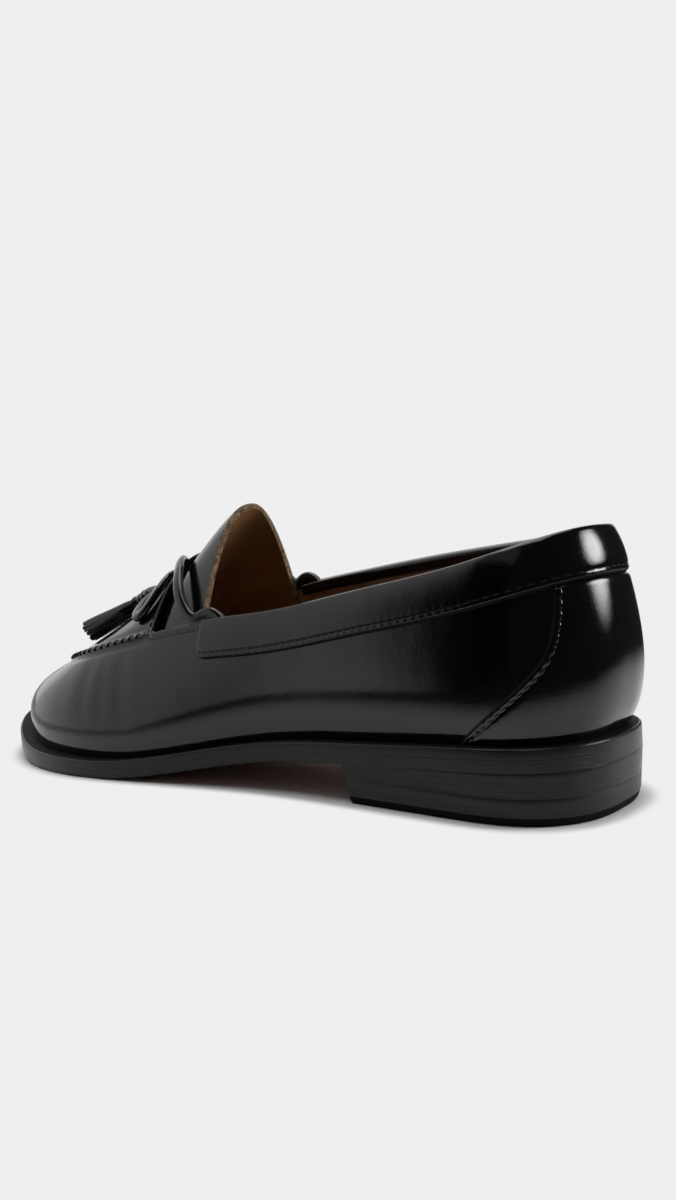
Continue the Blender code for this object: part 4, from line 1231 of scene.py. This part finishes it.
def squarish(sides, power, turned=0.0):
    """A round section drawn out towards a square, 1 across and 1 high."""
    angle = 2 * np.pi * (np.arange(sides) + turned) / sides
    return [np.sign(wave) * np.abs(wave) ** power / 2 for wave in (np.cos(angle), np.sin(angle))]


def lace(path, ups):
    """Points and faces of a lace along a path, of flattened round section with domed ends."""
    along = unit(np.gradient(path, axis=0))
    across = unit(np.cross(along, ups))
    ups = np.cross(across, along)
    flat, tall = squarish(LACE_SIDES, LACE_SQUARE, 0.5)

    def section(i, ahead=0.0, shrink=1.0):
        """A cut at a point of the path, or ahead of it and smaller on the dome of an end."""
        wide = np.outer(flat * LACE_WIDE * shrink, across[i])
        return path[i] + along[i] * ahead + wide + np.outer(tall * LACE_THICK * shrink, ups[i])

    first, last = ([section(end, way * LACE_BULGE * math.sin(turn), math.cos(turn)) for turn in LACE_DOME]
                   for end, way in ((0, -1), (-1, 1)))
    return tube(first + [section(i) for i in range(len(path))] + last[::-1])


def dressed(made, node):
    """Puts a piece of polished leather in the place of its solid."""
    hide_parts(node)
    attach(made, "root")


for node, side in (("thong_lateral", -1), ("thong_medial", 1)):
    path = []
    for top_y, share, lift, raised in THONG_ROUTE:
        place = station_at(top_y)
        middle = float(UPPER["top_centre"](place))
        edge_x = top_edge(side, np.array((place,)))[0][0]
        path.append(vamp_point(middle + (edge_x - middle) * (1 - share), top_y, lift)[0] + (0, 0, raised))
    path = smooth_path(path, THONG_CUTS)
    flat = eased(path[:, 1], *THONG_TURN)[:, None]
    ups = np.array([vamp_point(p[0], p[1], 0)[1] for p in path])
    ups = ups * flat + np.array((side, 0, 0)) * (1 - flat)
    path = path - (1 - flat) * np.array((side * LINED / 2, 0, 0))
    dressed(piece(node + "_lace", *lace(path, ups), [lace_leather]), node)

for node, side in (("bow_loop_lateral", -1), ("bow_loop_medial", 1)):
    route = smooth_path([(side * reach, KNOT_Y + ahead) for reach, ahead in LOOP_ROUTE], LOOP_CUTS)
    path = np.array([vamp_point(x, y, LOOP_LIFT)[0] for x, y in route])
    ups = np.array([vamp_point(x, y, 0)[1] for x, y in route])
    dressed(piece(node + "_lace", *lace(path, ups), [lace_leather]), node)


def knot():
    """The knot: a pillow with the lace wound round it in turns side by side."""
    centre, up = vamp_point(0, KNOT_Y, 0)
    ahead = vamp_point(0, KNOT_Y + 1, 0)[0] - vamp_point(0, KNOT_Y - 1, 0)[0]
    ahead /= np.linalg.norm(ahead)
    across = np.cross(ahead, up)
    centre = centre + up * (LACE_REST + KNOT_SIZE[2] / 2)
    flat, tall = squarish(KNOT_SIDES, KNOT_SQUARE)
    rings = []
    for share in np.linspace(-KNOT_CUT, KNOT_CUT, KNOT_RINGS):
        girth = (1 - abs(share) ** KNOT_ROUND[0]) ** (1 / KNOT_ROUND[1])
        turn = abs(math.sin(math.pi * KNOT_TURNS * (share + 1) / 2))
        girth *= 1 - KNOT_GROOVE * (1 - turn ** 0.5)
        middle = centre + across * share * KNOT_SIZE[0] / 2
        rings.append(middle + np.outer(flat * girth * KNOT_SIZE[1], ahead)
                     + np.outer(tall * girth * KNOT_SIZE[2], up))
    return tube(rings)


dressed(piece("bow_knot_turns", *knot(), [lace_leather]), "bow_knot")


# Tassels
# Each tassel is a piece of the upper's leather cut into narrow strips and rolled up on the end of the
# lace. A wound collar binds its head, and the strips fan out and lie on the vamp.

# The middle line: where it starts along the shoe, its length, its distance to the side at both ends,
# and its height over the leather there
TASSEL_START = 194.2
TASSEL_LONG = 41.0
TASSEL_ROOT = 3.0
TASSEL_SPREAD = 13.5
TASSEL_LIFT = (2.2, 5.6)
TASSEL_FLAT = 0.7
# From neck to strip ends: share of the length, radius
TASSEL_PROFILE = np.array(((0, 1.5), (0.1, 1.5), (0.15, 3.4), (0.2, 4.6), (0.27, 5.0), (0.33, 4.6),
                           (0.36, 4.0), (0.39, 4.6), (0.5, 5.4), (0.75, 6.6), (1, 7.6)))
# The neck starts inside the knot. The head is bound in turns over a stretch, and they part a little
NECK_START = -0.1
HEAD_END = 0.4
HEAD_BOUND = (0.19, 0.36)
HEAD_TURNS = 3
HEAD_GROOVE = 0.1
HEAD_SIDES = 36
HEAD_RINGS = 76
# The strips start inside the head, gathered to a share of the radius. Layers: how many, share of the radius
STRIP_ROOT = 0.33
STRIP_GATHER = 0.72
STRIP_WIDE = 1.5
STRIP_THICK = 0.9
STRIP_LAYERS = ((24, 0.88), (15, 0.52), (6, 0.2))
STRIP_RINGS = 22
# A strip in section: shares of half its width and half its thickness
STRIP_SECTION = np.array(((-1, -0.6), (-0.75, -1), (0.75, -1), (1, -0.6), (1, 0.6), (0.75, 1), (-0.75, 1),
                          (-1, 0.6)))

strip_leather = polished("black leather strips", 0.000014, 0.16)


def tassel_frame(side, share):
    """The tassel's middle line at a share of its length, and its directions ahead, across and over."""
    start = np.array((side * TASSEL_ROOT, TASSEL_START))
    way = np.array((side * TASSEL_SPREAD, TASSEL_START + TASSEL_LONG)) - start
    lift = LACE_REST + TASSEL_LIFT[0] + (TASSEL_LIFT[1] - TASSEL_LIFT[0]) * max(share, 0) ** 0.6
    middle, up = vamp_point(*(start + way * share), lift)
    ahead = vamp_point(*(start + way * (share + 0.02)), lift)[0] - middle
    ahead /= np.linalg.norm(ahead)
    across = np.cross(ahead, up)
    across /= np.linalg.norm(across)
    return middle, ahead, across, np.cross(across, ahead)


def tassel_head(side):
    """The neck, the domed head and the turns of its binding, as one closed solid."""
    angle = 2 * np.pi * np.arange(HEAD_SIDES) / HEAD_SIDES
    rings = []
    for share in np.linspace(NECK_START, HEAD_END, HEAD_RINGS):
        radius = np.interp(share, *TASSEL_PROFILE.T)
        bound = (share - HEAD_BOUND[0]) / (HEAD_BOUND[1] - HEAD_BOUND[0])
        if 0 < bound < 1:
            radius *= 1 - HEAD_GROOVE * (1 - abs(math.sin(math.pi * HEAD_TURNS * bound)) ** 0.5)
        middle, ahead, across, over = tassel_frame(side, share)
        rings.append(middle + np.outer(np.cos(angle) * radius, across)
                     + np.outer(np.sin(angle) * radius * TASSEL_FLAT, over))
    return tube(rings)


def tassel_strips(side, chance):
    """Strips in layers round the head's foot, each a little different in length, lie and twist."""
    points = []
    faces = []
    for count, depth in STRIP_LAYERS:
        for i in range(count):
            turn = 2 * math.pi * (i + chance.uniform(-0.2, 0.2)) / count
            end = chance.uniform(0.95, 1.0)
            drift = chance.uniform(-0.1, 0.1)
            swell = chance.uniform(0.95, 1.03)
            twist = chance.uniform(-0.3, 0.3)
            wave = chance.uniform(-0.35, 0.35)
            rings = []
            for share in np.linspace(STRIP_ROOT, end, STRIP_RINGS):
                middle, ahead, across, over = tassel_frame(side, share)
                down = (share - STRIP_ROOT) / (end - STRIP_ROOT)
                at = turn + drift * down
                gathered = STRIP_GATHER + (1 - STRIP_GATHER) * eased(down, 0, 1 / 3)
                radius = np.interp(share, *TASSEL_PROFILE.T) * depth * gathered * swell
                radius += wave * math.sin(math.pi * down * 1.6) - STRIP_THICK / 2
                outward = across * math.cos(at) + over * math.sin(at)
                aside = over * math.cos(at) - across * math.sin(at)
                spin = twist * down
                wide = (aside * math.cos(spin) + outward * math.sin(spin)) * STRIP_WIDE / 2
                thick = (outward * math.cos(spin) - aside * math.sin(spin)) * STRIP_THICK / 2
                centre = middle + radius * (across * math.cos(at) + over * math.sin(at) * TASSEL_FLAT)
                rings.append(centre + STRIP_SECTION @ np.stack((wide, thick)))
            base = len(points) * STRIP_RINGS * len(STRIP_SECTION)
            strip, sides = tube(rings)
            faces += [tuple(base + i for i in ring) for ring in sides]
            points.append(strip)
    return np.vstack(points), faces


for node, side, seed in (("tassel_lateral", -1, 11), ("tassel_medial", 1, 23)):
    dressed(piece(node + "_head", *tassel_head(side), [lace_leather]), node)
    strips = piece(node + "_strips", *tassel_strips(side, np.random.default_rng(seed)), [strip_leather])
    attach(strips, "root")


# Floor, light and camera
# A pale seamless floor under soft studio light: a broad light overhead, a soft round one behind the
# heel, a pale panel ahead of the toe, and a dark room on the camera's side.
FLOOR_TONE = 0.88
PALE = 0.86
DARK = 0.025
# Rings of the floor round the sole, as distances out from it in millimetres
FLOOR_RINGS = (0, 2, 4, 6, 9, 12, 16, 21, 28, 38, 52, 75, 120, 250, 700, 2000, 6000)
# How far from the sole the lit part of the floor fades, as the leather mirrors it, and how much
# further it reaches for each metre out on the medial side
LIT_FADE = (0.04, 0.19)
LIT_MEDIAL = 0.5
# Ahead of a slanting line, the light of the panel keeps the floor half lit
AHEAD_WAY = (0.574, 0.819, 0.0)
AHEAD_FADE = (-0.06, 0.0)
AHEAD_FROM = (-0.1, 0.0)
AHEAD_LIT = 0.4
# How far from the sole the floor passes into the even background, as seen from the camera
SEEN_FADE = (0.0, 0.006)


def fades(tree, value, fade, near=0.0, far=1.0):
    """near up to the lower value of fade and far from the higher one on, smooth between."""
    span = {"Value": value, "From Min": fade[0], "From Max": fade[1], "To Min": near, "To Max": far}
    return wire(tree, "ShaderNodeMapRange", span, interpolation_type="SMOOTHSTEP").outputs[0]


def along_way(tree, place, way):
    """How far a place lies in a direction."""
    return wire(tree, "ShaderNodeVectorMath", {0: place, 1: way}, operation="DOT_PRODUCT").outputs["Value"]


def mixed(tree, share, first, second):
    """One shader where share is 0, and the other where it is 1."""
    return wire(tree, "ShaderNodeMixShader", {0: share, 1: first, 2: second}).outputs[0]


def even_glow(tree, tone):
    """An even grey light."""
    return wire(tree, "ShaderNodeEmission", {"Color": (tone, tone, tone, 1), "Strength": 1.0}).outputs[0]


pale_floor, tree, shader = finish("pale seamless floor")
shader.inputs["Base Color"].default_value = (FLOOR_TONE, FLOOR_TONE, FLOOR_TONE, 1)
shader.inputs["Roughness"].default_value = 0.8
shader.inputs["Specular IOR Level"].default_value = 0.2
away = wire(tree, "ShaderNodeAttribute", {}, attribute_name="away").outputs["Fac"]
shown = mixed(tree, fades(tree, away, SEEN_FADE), shader.outputs[0], even_glow(tree, PALE))
place = own_place(tree)
ahead = arithmetic(tree, "MINIMUM", fades(tree, along_way(tree, place, AHEAD_WAY), AHEAD_FADE),
                   fades(tree, along_way(tree, place, (0, 1, 0)), AHEAD_FROM))
medial = wire(tree, "ShaderNodeMapRange", {"Value": along_way(tree, place, (1, 0, 0)), "To Max": LIT_MEDIAL})
reach = arithmetic(tree, "SUBTRACT", away, medial.outputs[0])
unlit = arithmetic(tree, "MINIMUM", fades(tree, reach, LIT_FADE),
                   fades(tree, ahead, (0, 1), 1, 1 - AHEAD_LIT))
mirrored = mixed(tree, unlit, shader.outputs[0], even_glow(tree, DARK))
direct = wire(tree, "ShaderNodeLightPath", {}).outputs["Is Camera Ray"]
tree.links.new(mixed(tree, direct, mirrored, shown), tree.nodes["Material Output"].inputs["Surface"])

rings = [sole_ring(sole_y, sole_side, -far, 0) for far in FLOOR_RINGS]
size = len(sole_y)
faces = [ring[::-1] for ring in grid(len(rings), size, True) + cap(size, 0)]
mesh = bpy.data.meshes.new("floor")
mesh.from_pydata((np.vstack(rings) * 0.001 + (0, HEEL_BACK, 0)).tolist(), [], faces)
distances = np.repeat(FLOOR_RINGS, size) * 0.001
mesh.attributes.new("away", "FLOAT", "POINT").data.foreach_set("value", distances)
mesh.materials.append(pale_floor)
floor = bpy.data.objects.new("floor", mesh)
bpy.context.collection.objects.link(floor)


# The light overhead, a broad even one
OVERHEAD_PLACE = (-0.05, 0.15, 1.3)
OVERHEAD_WIDE = 1.2
OVERHEAD_GLOW = 2.6

lamp = bpy.data.lights.new("overhead softbox", "AREA")
lamp.shape = "SQUARE"
lamp.size = OVERHEAD_WIDE
lamp.energy = OVERHEAD_GLOW * OVERHEAD_WIDE ** 2 * math.pi
overhead = bpy.data.objects.new("overhead_softbox", lamp)
overhead.matrix_world = Matrix.Translation(OVERHEAD_PLACE)
overhead.visible_camera = False
bpy.context.collection.objects.link(overhead)


def glowing(name, corners, glows):
    """A flat light of four corners, unseen by the camera: glows gives its strength from a place on it."""
    made, tree, shader = finish(name)
    tree.nodes.remove(shader)
    strength = glows(tree, own_place(tree))
    glow = wire(tree, "ShaderNodeEmission", {"Color": (1, 1, 1, 1), "Strength": strength}).outputs[0]
    tree.links.new(glow, tree.nodes["Material Output"].inputs["Surface"])
    mesh = bpy.data.meshes.new(name)
    mesh.from_pydata(corners, [], [(0, 1, 2, 3)])
    mesh.materials.append(made)
    light = bpy.data.objects.new(name.replace(" ", "_"), mesh)
    light.visible_camera = False
    bpy.context.collection.objects.link(light)


# The softbox behind the heel: brightest in the middle, it fades out to its edge
HEEL_LIGHT_PLACE = (0.66, -1.17, 0.58)
HEEL_LIGHT_AIM = (0.0, -0.13, 0.06)
HEEL_LIGHT_HALF = 0.55
HEEL_LIGHT_FADE = (0.15, 0.53)
HEEL_LIGHT_GLOW = 10.5


def heel_glow(tree, place):
    """Strength of the heel's light, from the distance to its middle."""
    away = wire(tree, "ShaderNodeVectorMath", {0: place, 1: HEEL_LIGHT_PLACE}, operation="DISTANCE")
    return fades(tree, away.outputs["Value"], HEEL_LIGHT_FADE, HEEL_LIGHT_GLOW, 0.0)


middle = np.array(HEEL_LIGHT_PLACE)
aim = np.array(HEEL_LIGHT_AIM) - middle
across = np.cross(aim, (0, 0, 1))
across *= HEEL_LIGHT_HALF / np.linalg.norm(across)
upright = np.cross(across, aim)
upright *= HEEL_LIGHT_HALF / np.linalg.norm(upright)
corners = [middle + right * across + up * upright for right, up in ((-1, -1), (1, -1), (1, 1), (-1, 1))]
glowing("heel softbox", corners, heel_glow)

# The pale panel ahead of the toe: its near end fades on a slant, and a dim light shows over it
PANEL_FOOT = ((-0.634, -0.092), (0.101, 0.753))
PANEL_HIGH = 0.75
PANEL_END_WAY = (0.656, 0.755, -0.33)
PANEL_END_FADE = (-0.185, -0.07)
PANEL_GLOW = 0.64
PANEL_TOP_FADE = (0.40, 0.50)
PANEL_TOP_GLOW = 0.22


def panel_glow(tree, place):
    """Strength of the panel's light, over its slanting end and its dim upper part."""
    end = fades(tree, along_way(tree, place, PANEL_END_WAY), PANEL_END_FADE, 0.0, PANEL_GLOW)
    top = fades(tree, along_way(tree, place, (0, 0, 1)), PANEL_TOP_FADE, 0.0, PANEL_TOP_GLOW)
    return arithmetic(tree, "MAXIMUM", end, top)


near_foot, far_foot = PANEL_FOOT
corners = [(*near_foot, 0.0), (*far_foot, 0.0), (*far_foot, PANEL_HIGH), (*near_foot, PANEL_HIGH)]
glowing("pale panel", corners, panel_glow)

# The background wall glows behind the shoe, and the rest of the room is dark
BACKGROUND_WAY = (0.583, 0.695, 0.42)
BACKGROUND_FADE = (0.70, 0.80)

world = bpy.data.worlds.new("studio")
bpy.context.scene.world = world
world.use_nodes = True
tree = world.node_tree
tree.nodes.clear()
toward = wire(tree, "ShaderNodeTexCoord", {}).outputs["Generated"]
room = fades(tree, along_way(tree, toward, BACKGROUND_WAY), BACKGROUND_FADE, DARK, PALE)
direct = wire(tree, "ShaderNodeLightPath", {}).outputs["Is Camera Ray"]
tone = wire(tree, "ShaderNodeMapRange", {"Value": direct, "To Min": room, "To Max": PALE}).outputs[0]
background = wire(tree, "ShaderNodeBackground", {"Color": tone, "Strength": 1.0}).outputs[0]
wire(tree, "ShaderNodeOutputWorld", {"Surface": background})
bpy.context.scene.view_settings.view_transform = "Standard"

# The photograph's place and tilt, turned a little to the left so that the whole shoe is in the frame
CAMERA_PLACE = (-0.27816, -0.27606, 0.08706)
CAMERA_RIGHT = (0.50043, -0.86323, -0.0664)
CAMERA_UP = (0.08869, -0.02517, 0.99574)
CAMERA_TURN = 10.2
CAMERA_LENS = 30.3
right = np.array(CAMERA_RIGHT)
up = np.array(CAMERA_UP)
turned = Matrix(np.stack((right, up, np.cross(right, up)), 1).tolist()).to_4x4()
eye = bpy.data.cameras.new("photograph")
eye.sensor_fit = "VERTICAL"
eye.sensor_height = 36.0
eye.lens = CAMERA_LENS
eye.clip_start = 0.01
camera = bpy.data.objects.new("photograph", eye)
camera.matrix_world = (Matrix.Translation(CAMERA_PLACE) @ Matrix.Rotation(math.radians(CAMERA_TURN), 4, "Z")
                       @ turned)
bpy.context.collection.objects.link(camera)
bpy.context.scene.camera = camera
